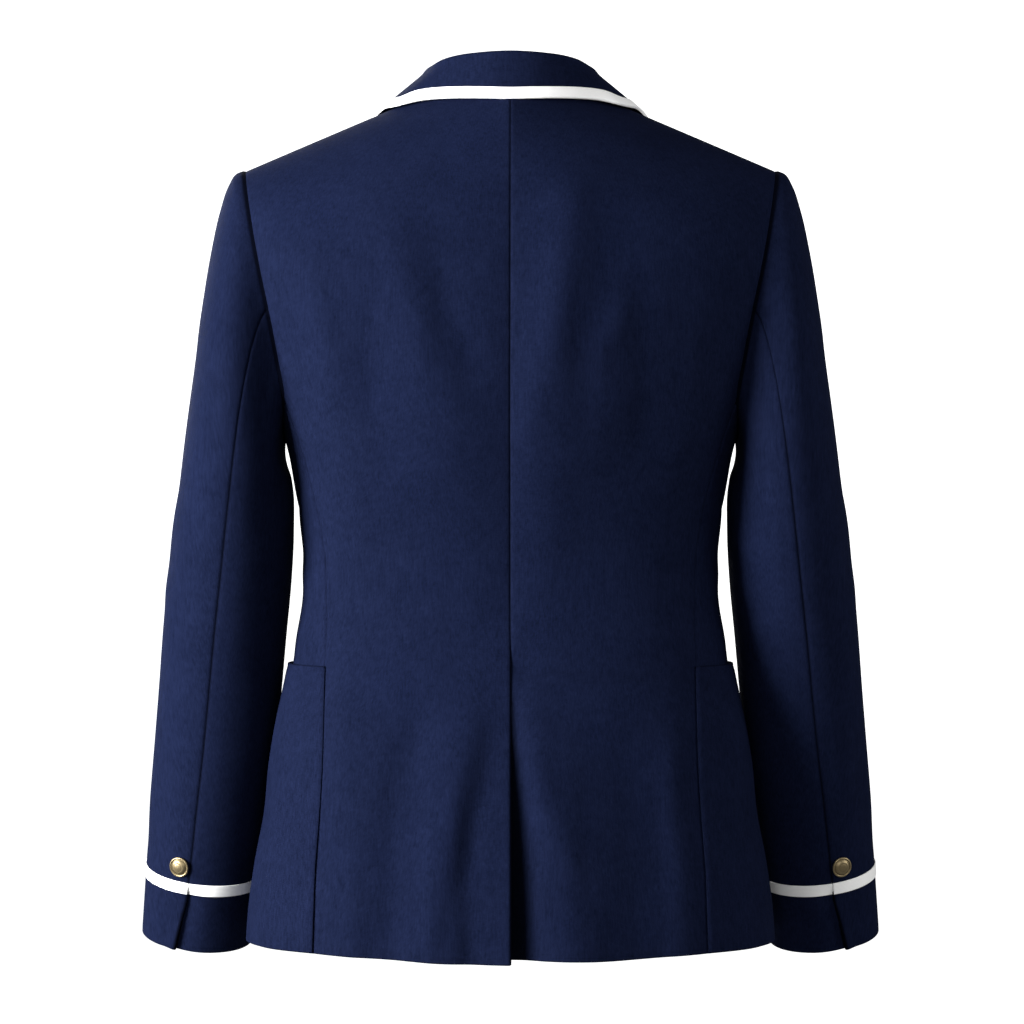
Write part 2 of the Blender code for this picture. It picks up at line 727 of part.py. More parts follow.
def kept_off(point, on_front):
    """The point, moved out where it would come too near the shoulder below it."""
    for _ in range(2):
        if point.z > ridge_level(point.x) - 0.002:
            return point
        reach = out_of_front if on_front else out_of_back
        base = reach(point.x, point.z, 0.0)
        out = reach(point.x, point.z, 1.0) - base
        height = (point - base).dot(out)
        point = point + out * max(COLLAR_CLEAR - height, 0.0)
    return point


def mirror_sections(sections):
    """Both halves of a run of sections that starts at the centre."""
    other = []
    for section in reversed(sections[1:]):
        other.append([Vector((-point.x, point.y, point.z)) for point in section])
    return other + sections


def sleeve_angles():
    """Angle of each column round the sleeve: 0 at the shoulder, 90 behind, 180 underneath."""
    middle = (ARMHOLE_TOP + UNDERARM_LEVEL) / 2
    radius = (ARMHOLE_TOP - UNDERARM_LEVEL) / 2
    behind = []
    for _, level in armhole_line("back_x"):
        behind.append(math.degrees(math.acos(clamp((level - middle) / radius, -1.0, 1.0))))
    under = []
    for column in range(1, SIDE_COLUMNS):
        under.append(behind[-1] + (360 - 2 * behind[-1]) * column / SIDE_COLUMNS)
    ahead = [360 - angle for angle in reversed(behind)]
    return behind + under + ahead[:-1]


def armhole_ring(back, side_piece, front):
    """The armhole's points in the order of the sleeve's columns."""
    behind = [back[row][-1] for row in range(UPPER_ROWS + 1)]
    under = [side_piece[0][column] for column in range(1, SIDE_COLUMNS)]
    ahead = [front[row][-1] for row in range(UPPER_ROWS, 0, -1)]
    return behind + under + ahead


def sleeve_ring(side, row, angles):
    """Points round the sleeve at one row of its table, square to its run."""
    index = SLEEVE.index(row)
    before, after = SLEEVE[max(index - 1, 0)], SLEEVE[min(index + 1, len(SLEEVE) - 1)]
    shift_x, shift_y = after.middle_x - before.middle_x, after.middle_y - before.middle_y
    run = Vector((shift_x, shift_y, after.level - before.level)).normalized()
    across = (Vector((1, 0, 0)) - run * run.x).normalized()
    ahead = run.cross(across).normalized()
    ahead = ahead if ahead.y > 0 else -ahead
    middle = Vector((row.middle_x, row.middle_y, row.level))
    ring = []
    for angle in angles:
        turned = math.radians(angle - row.turn)
        point = middle + across * row.half_x * math.cos(turned) + ahead * row.half_y * math.sin(turned)
        ring.append(Vector((side * point.x, point.y, point.z)))
    return ring


def sleeve_grid(side, hole, angles):
    """Rows of points from the armhole to the cuff."""
    ring = sleeve_ring(side, SLEEVE[0], angles)
    following = sleeve_ring(side, SLEEVE[1], angles)
    rows = []
    for share in CAP_STEPS:
        line = []
        for start, end, beyond, angle in zip(hole, ring, following, angles):
            turn = math.radians(angle)
            out = Vector((side * (0.013 + 0.009 * math.cos(turn)), 0.005 * math.sin(turn),
                          -0.014 + 0.016 * math.cos(turn)))
            under = (1 - math.cos(turn)) / 2
            begin = start + Vector((side * (0.0012 + 0.0012 * under), 0.0, 0.0006 * math.cos(turn)))
            reach = 0.066 + 0.054 * math.cos(turn)
            first = begin + out
            second = end - (beyond - end).normalized() * reach
            rest = 1 - share
            line.append(
                begin * rest**3 + first * 3 * rest**2 * share
                + second * 3 * rest * share**2 + end * share**3
            )
        rows.append(line)
    for row in SLEEVE:
        rows.append(sleeve_ring(side, row, angles))
    return rows


def split_sleeve(rows):
    """The top sleeve's and the under sleeve's own grids."""
    count = len(rows[0])
    fore = count - FOREARM_COLUMN
    under = [line[HINDARM_COLUMN:fore + 1] for line in rows]
    top = [line[fore:] + line[:HINDARM_COLUMN + 1] for line in rows]
    return top, under


def vent_cuff(top, under, first):
    """The cuff's vent: the top sleeve's edge stands off and the under sleeve goes on below it."""
    last = len(top) - 1
    middle = (top[first - 1][0] + top[first - 1][len(top[0]) // 2]) / 2
    under[first - 1][0] -= (top[first - 1][-1] - middle).normalized() * LAYER
    for row in range(first, last + 1):
        share = (row - first + 1) / (last - first + 1)
        edge, inner = top[row][-1], top[row][-2]
        middle = (top[row][0] + top[row][len(top[row]) // 2]) / 2
        out = (edge - middle).normalized()
        step = inner - edge
        top[row][-1] = edge + step * VENT_SHIFT * share + out * CUFF_LIFT * (0.3 + 0.7 * share)
        top[row][-2] = inner + (top[row][-3] - inner) * 0.3 * share
        under[row][0] = edge + step * (0.35 + 0.55 * share) - out * (LAYER + 0.0008)
    return top, under


def ribbon_rows(grid, normals, rows, distance):
    return [moved_out([grid[row]], [normals[row]], distance)[0] for row in rows]


def turned_button(name, radius, place, out, material, collection):
    """A domed button: its profile turned about its own axis."""
    mesh = bpy.data.meshes.new(name)
    shape = bmesh.new()
    last = None
    for part in BUTTON_PROFILE:
        vertex = shape.verts.new((part.radius * radius, 0.0, part.height * radius))
        if last is not None:
            shape.edges.new((last, vertex))
        last = vertex
    shape.to_mesh(mesh)
    shape.free()
    mesh.materials.append(material)
    button = bpy.data.objects.new(name, mesh)
    collection.objects.link(button)
    turn = button.modifiers.new("Turn", "SCREW")
    turn.steps = 14
    turn.render_steps = 14
    turn.use_merge_vertices = True
    turn.merge_threshold = 0.00005
    turn.use_smooth_shade = True
    button.rotation_mode = "QUATERNION"
    button.rotation_quaternion = out.to_track_quat("Z", "Y")
    button.location = place
    return button


def build_side(side, word, wool, white, brass, collection):
    """One half of the body with its sleeve, pocket, lapel and ribbons. Gives the front's points."""
    half = SEAM_GAP / 2
    back = back_grid(side)
    under_piece = side_grid(side)
    front = front_grid(side)
    for row in range(len(LEVELS)):
        under_piece[row][0] = back[UPPER_ROWS + row][-1].copy()
        under_piece[row][-1] = front[UPPER_ROWS + row][-1].copy()
    back_cut = pull_in(back, top=half, left=half, right=half)
    side_cut = pull_in(under_piece, left=half, right=half)
    front_cut = pull_in(front, top=half, right=half)
    cloth_piece("back_" + word, back_cut, CLOTH, wool, collection)
    cloth_piece("side_" + word, side_cut, CLOTH, wool, collection)
    cloth_piece("front_" + word, front_cut, CLOTH, wool, collection)

    front_out = grid_normals(front, side)
    lapel = lapel_grid(front_cut, front_out)
    lapel_cut = pull_in(lapel, top=0.0007)
    cloth_piece("lapel_" + word, lapel_cut, CLOTH, wool, collection)
    strip = lapel_strip(lapel_cut, grid_normals(lapel_cut, side))
    cloth_piece("lapel_ribbon_" + word, strip, RIBBON, white, collection)

    pocket = pocket_grid(under_piece, front, side)
    cloth_piece("pocket_" + word, pocket, CLOTH, wool, collection)

    angles = sleeve_angles()
    rows = sleeve_grid(side, armhole_ring(back, under_piece, front), angles)
    top, under = split_sleeve(rows)
    first_vent = len(rows) - 2
    top_cut = pull_in(top, left=SLEEVE_GAP / 2, right=SLEEVE_GAP / 2)
    under_cut = pull_in(under, left=SLEEVE_GAP / 2, right=SLEEVE_GAP / 2)
    top_cut, under_cut = vent_cuff(top_cut, under_cut, first_vent)
    cloth_piece("sleeve_top_" + word, top_cut, CLOTH, wool, collection)
    cloth_piece("sleeve_under_" + word, under_cut, CLOTH, wool, collection)

    top_out = grid_normals(top_cut, side)
    under_out = grid_normals(under_cut, side)
    band = ribbon_rows(top_cut, top_out, CUFF_RIBBON_ROWS, RIBBON_REST)
    cloth_piece("cuff_ribbon_top_" + word, band, RIBBON, white, collection)
    band = ribbon_rows(under_cut, under_out, CUFF_RIBBON_ROWS, RIBBON_REST)
    cloth_piece("cuff_ribbon_under_" + word, band, RIBBON, white, collection)

    place, out = cuff_button_place(top_cut, top_out)
    turned_button("cuff_button_" + word, CUFF_BUTTON_RADIUS, place, out, brass, collection)
    return front


def cuff_button_place(top, normals):
    """On the top sleeve, just above the ribbon and beside the hindarm seam."""
    row = CUFF_RIBBON_ROWS[0] - 1
    upper = top[row][-1].lerp(top[row][-2], BUTTON_ASIDE)
    lower = top[row + 1][-1].lerp(top[row + 1][-2], BUTTON_ASIDE)
    out = (normals[row][-1] + normals[row][-2] + normals[row + 1][-1] + normals[row + 1][-2]).normalized()
    return upper.lerp(lower, BUTTON_DOWN) + out * (CLOTH / 2 + BUTTON_LIFT), out


def pocket_grid(side_piece, front, side):
    """The patch pocket on the side piece's and the front's own points, moved out."""
    joined = []
    for row in range(POCKET_ROW, len(LEVELS)):
        line = list(side_piece[row])
        line += [front[UPPER_ROWS + row][-2 - column] for column in range(POCKET_COLUMNS)]
        joined.append(line)
    outs = grid_normals(joined, -side)
    return pull_in(moved_out(joined, outs, LAYER), left=0.0012)


def build():
    remove_everything()
    collection = bpy.data.collections.new("blazer")
    bpy.context.scene.collection.children.link(collection)
    wool = make_material("navy_wool", (0.012, 0.017, 0.055), 0.85, 0.0)
    white = make_material("white_ribbon", (0.86, 0.86, 0.84), 0.60, 0.0)
    brass = make_material("antique_brass", (0.34, 0.28, 0.18), 0.38, 0.9)
    build_side(-1, "right", wool, white, brass, collection)
    front = build_side(1, "left", wool, white, brass, collection)

    sections = mirror_sections(collar_half(front))
    cloth_piece("collar", sections, CLOTH, wool, collection)
    strip = collar_strip(sections, grid_normals(sections, 1))
    cloth_piece("collar_ribbon", strip, RIBBON, white, collection)

    ahead = Vector((0, -1, 0))
    for word, level in FRONT_BUTTON_LEVELS.items():
        depths = [front_depth(1, 0.0, level + share * FRONT_BUTTON_RADIUS) for share in (-1, 0, 1)]
        place = Vector((0.0, min(depths) - CLOTH / 2 - SEAM_GAP, level))
        turned_button("front_button_" + word, FRONT_BUTTON_RADIUS, place, ahead, brass, collection)


build()
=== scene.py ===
"""Looks of a navy blazer with white ribbon trim, cut and sewn over its solids.

Units are metres. +Z is up, the wearer faces -Y and the wearer's left is +X.
Every panel is a surface on the same cut as its solid, made finer and given its
seams, hems and creases before it gets its thickness.
"""

import logging
import math
from dataclasses import dataclass
from dataclasses import field
from enum import Enum

import bmesh
import bpy
import numpy as np
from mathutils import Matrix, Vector
from mathutils.bvhtree import BVHTree


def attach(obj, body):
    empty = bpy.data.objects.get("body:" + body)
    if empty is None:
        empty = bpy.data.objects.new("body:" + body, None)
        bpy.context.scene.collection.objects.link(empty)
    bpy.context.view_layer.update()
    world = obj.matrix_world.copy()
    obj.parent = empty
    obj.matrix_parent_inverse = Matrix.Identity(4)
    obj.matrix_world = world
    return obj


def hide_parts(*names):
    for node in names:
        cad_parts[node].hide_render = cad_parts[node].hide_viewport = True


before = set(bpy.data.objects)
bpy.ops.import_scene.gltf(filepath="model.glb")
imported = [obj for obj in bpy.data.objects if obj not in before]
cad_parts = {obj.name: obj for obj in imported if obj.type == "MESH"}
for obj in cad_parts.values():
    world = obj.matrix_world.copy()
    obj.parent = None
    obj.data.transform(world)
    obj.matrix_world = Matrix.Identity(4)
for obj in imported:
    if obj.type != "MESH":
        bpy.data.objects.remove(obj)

log = logging.getLogger("blazer")

Number = float | np.ndarray

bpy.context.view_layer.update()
RIBBON_WIDTH = 0.0095
RIBBON_REST = 0.0014
RIBBON_SHARE = 0.9
RIBBON_THICKNESS = 0.0008
RIBBON_BEND = 0.0005
SELVEDGE_DROP = 0.00025
WOOL_THICKNESS = 0.0017
SEAM_DEPTH = 0.0011
SEAM_REACH = 0.0016
FINE_SEAM_DEPTH = 0.0008
ALLOWANCE = 0.004
LEAST_ALLOWANCE = 0.001
PIECE_GAP = 0.0003
FRONT_BUTTON_RADIUS = 0.0108
FRONT_BUTTON_LEVELS = (("upper", -0.366), ("lower", -0.470))
BUTTON_SHANK = 0.0015
BUTTON_REST = 0.0016
FINE_ROWS = 6
FINE_COLUMNS = 8


class Side(Enum):
    """The wearer's sides, with the sign of their x."""

    LEFT = 1
    RIGHT = -1

    @property
    def word(self) -> str:
        """The side's name, as the nodes are named."""
        return self.name.lower()


class Hold(Enum):
    """How a sheet of cloth is held."""

    DRAPED = "draped"
    HUNG = "hung"
    FOLDED = "folded"


def clamp(value: float, low: float = 0.0, high: float = 1.0) -> float:
    """The value, kept between two limits."""
    return max(low, min(high, value))


def ease(value: Number, start: float, end: float) -> Number:
    """A smooth change from 0 to 1.

    Args:
        value: A number or an array.
        start: Where the change starts.
        end: Where it ends.

    Returns:
        0 before start, 1 after end, and a smooth curve between.
    """
    share = np.clip((value - start) / (end - start), 0.0, 1.0)
    return share * share * (3 - 2 * share)


def bell(distance: Number, reach: float) -> Number:
    """A bump that is 1 at no distance and soon gone past its reach."""
    return np.exp(-((distance / reach) ** 2))


def hermite(t: Number, span: Number, first: Number, last: Number, slope_first: Number,
            slope_last: Number) -> Number:
    """A smooth curve between two values with given slopes, at a share of the way.

    Args:
        t: The share.
        span: The distance between the values.
        first: Value at the start.
        last: Value at the end.
        slope_first: Slope at the start.
        slope_last: Slope at the end.

    Returns:
        The value there.
    """
    return (
        (2 * t**3 - 3 * t**2 + 1) * first
        + (t**3 - 2 * t**2 + t) * span * slope_first
        + (-2 * t**3 + 3 * t**2) * last
        + (t**3 - t**2) * span * slope_last
    )


def table_value(rows: tuple, level: float, column: int) -> float:
    """A smooth curve through one column of a table whose first column is the level.

    Args:
        rows: The table's rows, from the highest level down.
        level: Where the curve is read.
        column: Which column is read.

    Returns:
        The value there.
    """
    if level >= rows[0][0]:
        return rows[0][column]
    if level <= rows[-1][0]:
        return rows[-1][column]
    place = next(i for i in range(len(rows) - 1) if level >= rows[i + 1][0])
    slopes = []
    for i in (place, place + 1):
        before, after = max(i - 1, 0), min(i + 1, len(rows) - 1)
        slopes.append((rows[after][column] - rows[before][column]) / (rows[after][0] - rows[before][0]))
    span = rows[place + 1][0] - rows[place][0]
    share = (level - rows[place][0]) / span
    return hermite(share, span, rows[place][column], rows[place + 1][column], *slopes)


def spline(points: np.ndarray, places: np.ndarray) -> np.ndarray:
    """A smooth curve through points, by their index, for many lines at once.

    Args:
        points: Array of lines by points by three coordinates.
        places: Where to read the curve, in indices of the points.

    Returns:
        Array of lines by places by three.
    """
    chords = np.maximum(np.linalg.norm(np.diff(points, axis=1), axis=2, keepdims=True), 1e-6)
    slopes = np.diff(points, axis=1) / chords
    tangents = np.empty_like(points)
    if points.shape[1] > 2:
        before, after = chords[:, :-1], chords[:, 1:]
        tangents[:, 1:-1] = (after * slopes[:, :-1] + before * slopes[:, 1:]) / (before + after)
        tangents[:, 0] = 1.5 * slopes[:, 0] - 0.5 * tangents[:, 1]
        tangents[:, -1] = 1.5 * slopes[:, -1] - 0.5 * tangents[:, -2]
    else:
        tangents[:, 0] = slopes[:, 0]
        tangents[:, -1] = slopes[:, 0]
    index = np.clip(places.astype(int), 0, points.shape[1] - 2)
    t = (places - index)[None, :, None]
    ends = (points[:, index], points[:, index + 1], tangents[:, index], tangents[:, index + 1])
    return hermite(t, chords[:, index], *ends)


def finer(count: int, each: int, tight_start: bool = False, tight_end: bool = False) -> np.ndarray:
    """Places along a run of points, closer together at an edge that gets a seam.

    Args:
        count: How many points the run has.
        each: How many steps go between two points.
        tight_start: Whether the start gets extra places.
        tight_end: Whether the end gets them.

    Returns:
        The places, in indices.
    """
    places = set(np.round(np.linspace(0, count - 1, (count - 1) * each + 1), 5))
    # shares of the first step
    extra = (0.02, 0.05, 0.09)
    if tight_start:
        places.update(extra)
    if tight_end:
        places.update(count - 1 - value for value in extra)
    return np.array(sorted(places))


@dataclass(frozen=True)
class Crease:
    """A soft ridge or trough on a panel, from one place to another.

    Places are pairs on the panel's own two coordinates. A positive height is a
    ridge, a negative one a trough.
    """

    start: tuple[float, float]
    end: tuple[float, float]
    width: float
    height: float
    fade_in: float = 0.25
    fade_out: float = 0.25
    bow: float = 0.0

    def heights(self, first: np.ndarray, second: np.ndarray) -> np.ndarray:
        """Height of the crease at each point.

        Args:
            first: First coordinate of each point, in metres.
            second: Second coordinate of each point, in metres.

        Returns:
            Heights in metres.
        """
        run = np.array(self.end) - np.array(self.start)
        length = float(np.linalg.norm(run))
        way = run / length
        along = ((first - self.start[0]) * way[0] + (second - self.start[1]) * way[1]) / length
        across = (first - self.start[0]) * -way[1] + (second - self.start[1]) * way[0]
        across = across - self.bow * np.sin(np.pi * np.clip(along, 0.0, 1.0))
        rise = ease(along, -self.fade_in * 0.5, self.fade_in)
        fall = 1 - ease(along, 1 - self.fade_out, 1 + self.fade_out * 0.5)
        return self.height * bell(across, self.width) * rise * fall


def crease_heights(creases: tuple[Crease, ...], first: np.ndarray, second: np.ndarray) -> np.ndarray:
    """Heights of several creases together at each point, as Crease.heights gives them."""
    return sum(crease.heights(first, second) for crease in creases)


class Surface:
    """A grid of points on a panel, row by row from its top."""

    # a fold's bend: its share of the fold's depth, and how far it stands out in steps of the grid
    bend_drop = 0.5
    bend_out = 0.08
    # where an allowance turns down: its share of the depth and of the reach
    turn_drop = 0.8
    turn_reach = 0.15
    # the least sine between an edge and the cloth across it that drawn_in allows for
    least_slant = 0.4

    def __init__(self, points: list | np.ndarray, turn: float) -> None:
        """Keeps the points.

        Args:
            points: Rows of points.
            turn: 1 or -1, so that the normals point out of the garment.
        """
        self.points = np.array([[tuple(point) for point in line] for line in points], dtype=float)
        self.turn = turn
        self.outs = None
        # painted shade: how far each point is darkened as lying in shade in a seam, from 0 to 1
        self.painted_shade = np.zeros(self.points.shape[:2])

    def copy_with(self, points: np.ndarray, outs: np.ndarray | None = None,
                  painted_shade: np.ndarray | None = None) -> "Surface":
        """The same surface with other points.

        Args:
            points: The new points.
            outs: Known normals, where cloth is folded under.
            painted_shade: How deep in a seam each point lies, from 0 to 1, which the wool shows as painted
                shade.

        Returns:
            The new surface.
        """
        other = Surface.__new__(Surface)
        other.points = points
        other.turn = self.turn
        other.outs = outs
        if painted_shade is None:
            painted_shade = self.painted_shade if self.painted_shade.shape == points.shape[:2] else np.zeros(points.shape[:2])
        other.painted_shade = painted_shade
        return other

    def with_painted_shade(self, painted_shade: np.ndarray) -> "Surface":
        """The same surface with other painted shade."""
        return self.copy_with(self.points, None, painted_shade)

    def refined(self, rows: np.ndarray, columns: np.ndarray) -> "Surface":
        """The surface with more points on smooth curves through the old ones.

        Args:
            rows: Places down the surface.
            columns: Places across it.

        Returns:
            The finer surface.
        """
        wide = spline(self.points, columns)
        tall = spline(np.swapaxes(wide, 0, 1), rows)
        return self.copy_with(np.swapaxes(tall, 0, 1))

    def normals(self) -> np.ndarray:
        """Unit vectors out of the garment at each point."""
        if self.outs is not None:
            return self.outs
        down = np.gradient(self.points, axis=0)
        across = np.gradient(self.points, axis=1)
        out = self.turn * np.cross(down, across)
        return out / np.maximum(np.linalg.norm(out, axis=2, keepdims=True), 1e-12)

    def raised(self, heights: np.ndarray) -> "Surface":
        """The surface moved out by a height at each point."""
        return self.copy_with(self.points + self.normals() * heights[..., None])

    def across(self) -> np.ndarray:
        """Distance of each point from its row's start, along the cloth."""
        steps = np.linalg.norm(np.diff(self.points, axis=1), axis=2)
        return np.concatenate([np.zeros((len(steps), 1)), np.cumsum(steps, axis=1)], axis=1)

    def down(self) -> np.ndarray:
        """Distance of each point from its column's start, along the cloth."""
        steps = np.linalg.norm(np.diff(self.points, axis=0), axis=2)
        return np.concatenate([np.zeros((1, steps.shape[1])), np.cumsum(steps, axis=0)], axis=0)

    def from_edges(self) -> dict[str, np.ndarray]:
        """Distances of each point from the four edges, along the cloth."""
        across, down = self.across(), self.down()
        return {
            "left": across,
            "right": across[:, -1:] - across,
            "top": down,
            "bottom": down[-1:, :] - down,
        }

    def seamed(self, edges: tuple[str, ...], depth: float, reach: float) -> "Surface":
        """The surface with its named edges turned in, as at a pressed seam, with painted shade along them.

        Args:
            edges: Which edges are seams.
            depth: How far the edge turns in.
            reach: How wide the turn is.

        Returns:
            The new surface.
        """
        distances = self.from_edges()
        heights = np.zeros(self.points.shape[:2])
        painted_shade = self.painted_shade
        for edge in edges:
            near = bell(distances[edge], reach)
            heights = heights - depth * near
            painted_shade = np.maximum(painted_shade, near)
        return self.raised(heights).with_painted_shade(painted_shade)

    def drawn_in(self, amounts: dict[str, float]) -> "Surface":
        """The surface with edges drawn in along the cloth, so that a gap is left.

        Args:
            amounts: How far each named edge moves.

        Returns:
            The new surface.
        """
        points = self.points.copy()
        for edge, amount in amounts.items():
            sideways = edge in ("left", "right")
            grid = np.swapaxes(points, 0, 1) if sideways else points
            at, inner = (0, 2) if edge in ("left", "top") else (-1, -3)
            way = grid[inner] - grid[at]
            way = way / np.linalg.norm(way, axis=1, keepdims=True)
            if sideways:
                run = np.gradient(grid[at], axis=0)
                run = run / np.maximum(np.linalg.norm(run, axis=1, keepdims=True), 1e-9)
                slant = np.linalg.norm(np.cross(way, run), axis=1, keepdims=True)
                amount = amount / np.maximum(slant, self.least_slant)
            grid[at] += way * amount
        return self.copy_with(points)

    def edge_last(self, edge: str) -> tuple[np.ndarray, ...]:
        """Points, normals and painted shade, turned so that an edge is their last row."""
        parts = (self.points, self.normals(), self.painted_shade)
        if edge in ("left", "right"):
            parts = tuple(np.swapaxes(part, 0, 1) for part in parts)
        return tuple(part[::-1] for part in parts) if edge in ("left", "top") else parts

    def from_edge_last(self, edge: str, *parts: np.ndarray) -> "Surface":
        """The surface with points, normals and painted shade that are turned as edge_last gives them."""
        if edge in ("left", "top"):
            parts = tuple(part[::-1] for part in parts)
        if edge in ("left", "right"):
            parts = tuple(np.swapaxes(part, 0, 1) for part in parts)
        return self.copy_with(*parts)

    def turned_under(self, edge: str, count: int, depth: float = 0.0019) -> "Surface":
        """The surface with an edge folded back under itself, as at a hem.

        Args:
            edge: The edge that is folded.
            count: How many rows or columns the fold reaches back.
            depth: How far below the cloth it lies.

        Returns:
            The surface with the folded part added.
        """
        points, outs, painted_shade = self.edge_last(edge)
        back = slice(-2, -2 - count, -1)
        low = points - outs * depth
        bend = points[-1:] - outs[-1:] * depth * self.bend_drop
        bend = bend + (points[-1:] - points[-2:-1]) * self.bend_out
        return self.from_edge_last(
            edge,
            np.concatenate([points, bend, low[back]]),
            np.concatenate([outs, outs[-1:], outs[back]]),
            np.concatenate([painted_shade, painted_shade[-1:], painted_shade[back]]),
        )

    def with_allowance(self, edge: str, reach: Number = ALLOWANCE, depth: float = 0.0023) -> "Surface":
        """The surface with a seam allowance that goes on below the neighbouring piece.

        Args:
            edge: The edge that gets it.
            reach: Its width, one number or one for each point of the edge. A
                negative one lies below the piece itself.
            depth: How far below the cloth it lies.

        Returns:
            The surface with the allowance added.
        """
        points, outs, painted_shade = self.edge_last(edge)
        way = points[-1] - points[-3]
        way = way / np.linalg.norm(way, axis=1, keepdims=True)
        reach = np.broadcast_to(np.asarray(reach, dtype=float), (len(way),))[:, None]
        near = points[-1] + way * reach * self.turn_reach - outs[-1] * depth * self.turn_drop
        far = points[-1] + way * reach - outs[-1] * depth
        return self.from_edge_last(
            edge,
            np.concatenate([points, near[None], far[None]]),
            np.concatenate([outs, outs[-1:], outs[-1:]]),
            np.concatenate([painted_shade, painted_shade[-1:], painted_shade[-1:]]),
        )

    def tree(self) -> BVHTree:
        """A search tree on the surface's faces."""
        columns = self.points.shape[1]
        faces = []
        for row in range(len(self.points) - 1):
            for column in range(columns - 1):
                first = row * columns + column
                faces.append((first, first + 1, first + columns + 1, first + columns))
        return BVHTree.FromPolygons([tuple(point) for point in self.points.reshape(-1, 3)], faces)

    def area(self) -> float:
        """Area of the surface in square metres."""
        first = self.points[1:, 1:] - self.points[:-1, :-1]
        second = self.points[1:, :-1] - self.points[:-1, 1:]
        return float(np.linalg.norm(np.cross(first, second), axis=2).sum() / 2)


class Value:
    """A shader socket that takes part in sums, written as Python expressions."""

    def __init__(self, shade: "Shade", socket: bpy.types.NodeSocket) -> None:
        """Keeps the socket and the material that it belongs to."""
        self.shade = shade
        self.socket = socket

    def _sum(self, operation: str, first: "Value | float", second: "Value | float") -> "Value":
        """One Math node on two values."""
        return self.shade.node("ShaderNodeMath", {"operation": operation}, {0: first, 1: second})

    def __add__(self, other: "Value | float") -> "Value":
        """self + other."""
        return self._sum("ADD", self, other)

    __radd__ = __add__

    def __sub__(self, other: "Value | float") -> "Value":
        """self - other."""
        return self._sum("SUBTRACT", self, other)

    def __rsub__(self, other: "Value | float") -> "Value":
        """other - self."""
        return self._sum("SUBTRACT", other, self)

    def __mul__(self, other: "Value | float") -> "Value":
        """self * other."""
        return self._sum("MULTIPLY", self, other)

    __rmul__ = __mul__

    def power(self, other: "Value | float") -> "Value":
        """self to a power."""
        return self._sum("POWER", self, other)


class Shade:
    """Builds one node material."""

    def __init__(self, name: str) -> None:
        """Starts a material with only its shader and output."""
        self.material = bpy.data.materials.new(name)
        self.material.use_nodes = True
        self.tree = self.material.node_tree
        self.shader = self.tree.nodes["Principled BSDF"]

    def node(self, kind: str, settings: dict | None = None, inputs: dict | None = None,
             output: int | str = 0) -> Value:
        """Adds any node.

        Args:
            kind: The node's type.
            settings: Its properties, which are set first.
            inputs: Values or links of its sockets.
            output: Which output is given back.

        Returns:
            The output as a value.
        """
        node = self.tree.nodes.new(kind)
        for key, value in (settings or {}).items():
            setattr(node, key, value)
        for key, value in (inputs or {}).items():
            if isinstance(value, Value):
                self.tree.links.new(value.socket, node.inputs[key])
            else:
                node.inputs[key].default_value = value
        return Value(self, node.outputs[output])

    def mixed(self, share: Value, first: Value | tuple, second: Value | tuple) -> Value:
        """A colour between two, by a share."""
        return self.node("ShaderNodeMix", {"data_type": "RGBA"}, {0: share, 6: first, 7: second}, 2)

    def split(self, vector: Value) -> tuple[Value, Value, Value]:
        """The three parts of a vector."""
        node = self.tree.nodes.new("ShaderNodeSeparateXYZ")
        self.tree.links.new(vector.socket, node.inputs[0])
        return tuple(Value(self, node.outputs[i]) for i in range(3))

    def coordinates(self) -> Value:
        """Object coordinates."""
        return self.node("ShaderNodeTexCoord", None, None, "Object")

    def sine(self, value: Value) -> Value:
        """The sine of a value."""
        return self.node("ShaderNodeMath", {"operation": "SINE"}, {0: value})

    def stretched(self, vector: Value, scale: tuple) -> Value:
        """A vector, scaled along each axis."""
        return self.node("ShaderNodeMapping", None, {"Vector": vector, "Scale": scale})

    def noise(self, vector: Value, scale: float, detail: float = 2.0, roughness: float = 0.5) -> Value:
        """Soft noise at a scale, from about 0 to 1."""
        inputs = {"Vector": vector, "Scale": scale, "Detail": detail, "Roughness": roughness}
        return self.node("ShaderNodeTexNoise", None, inputs)

    def bump(self, height: Value, distance: float, strength: float, normal: Value | None = None) -> Value:
        """A Bump node on a height."""
        inputs = {"Height": height, "Distance": distance, "Strength": strength}
        if normal is not None:
            inputs["Normal"] = normal
        return self.node("ShaderNodeBump", None, inputs)

    def feed(self, name: str, value: Value | float | tuple) -> None:
        """Sets or links one of the shader's sockets."""
        if isinstance(value, Value):
            self.tree.links.new(value.socket, self.shader.inputs[name])
        else:
            self.shader.inputs[name].default_value = value


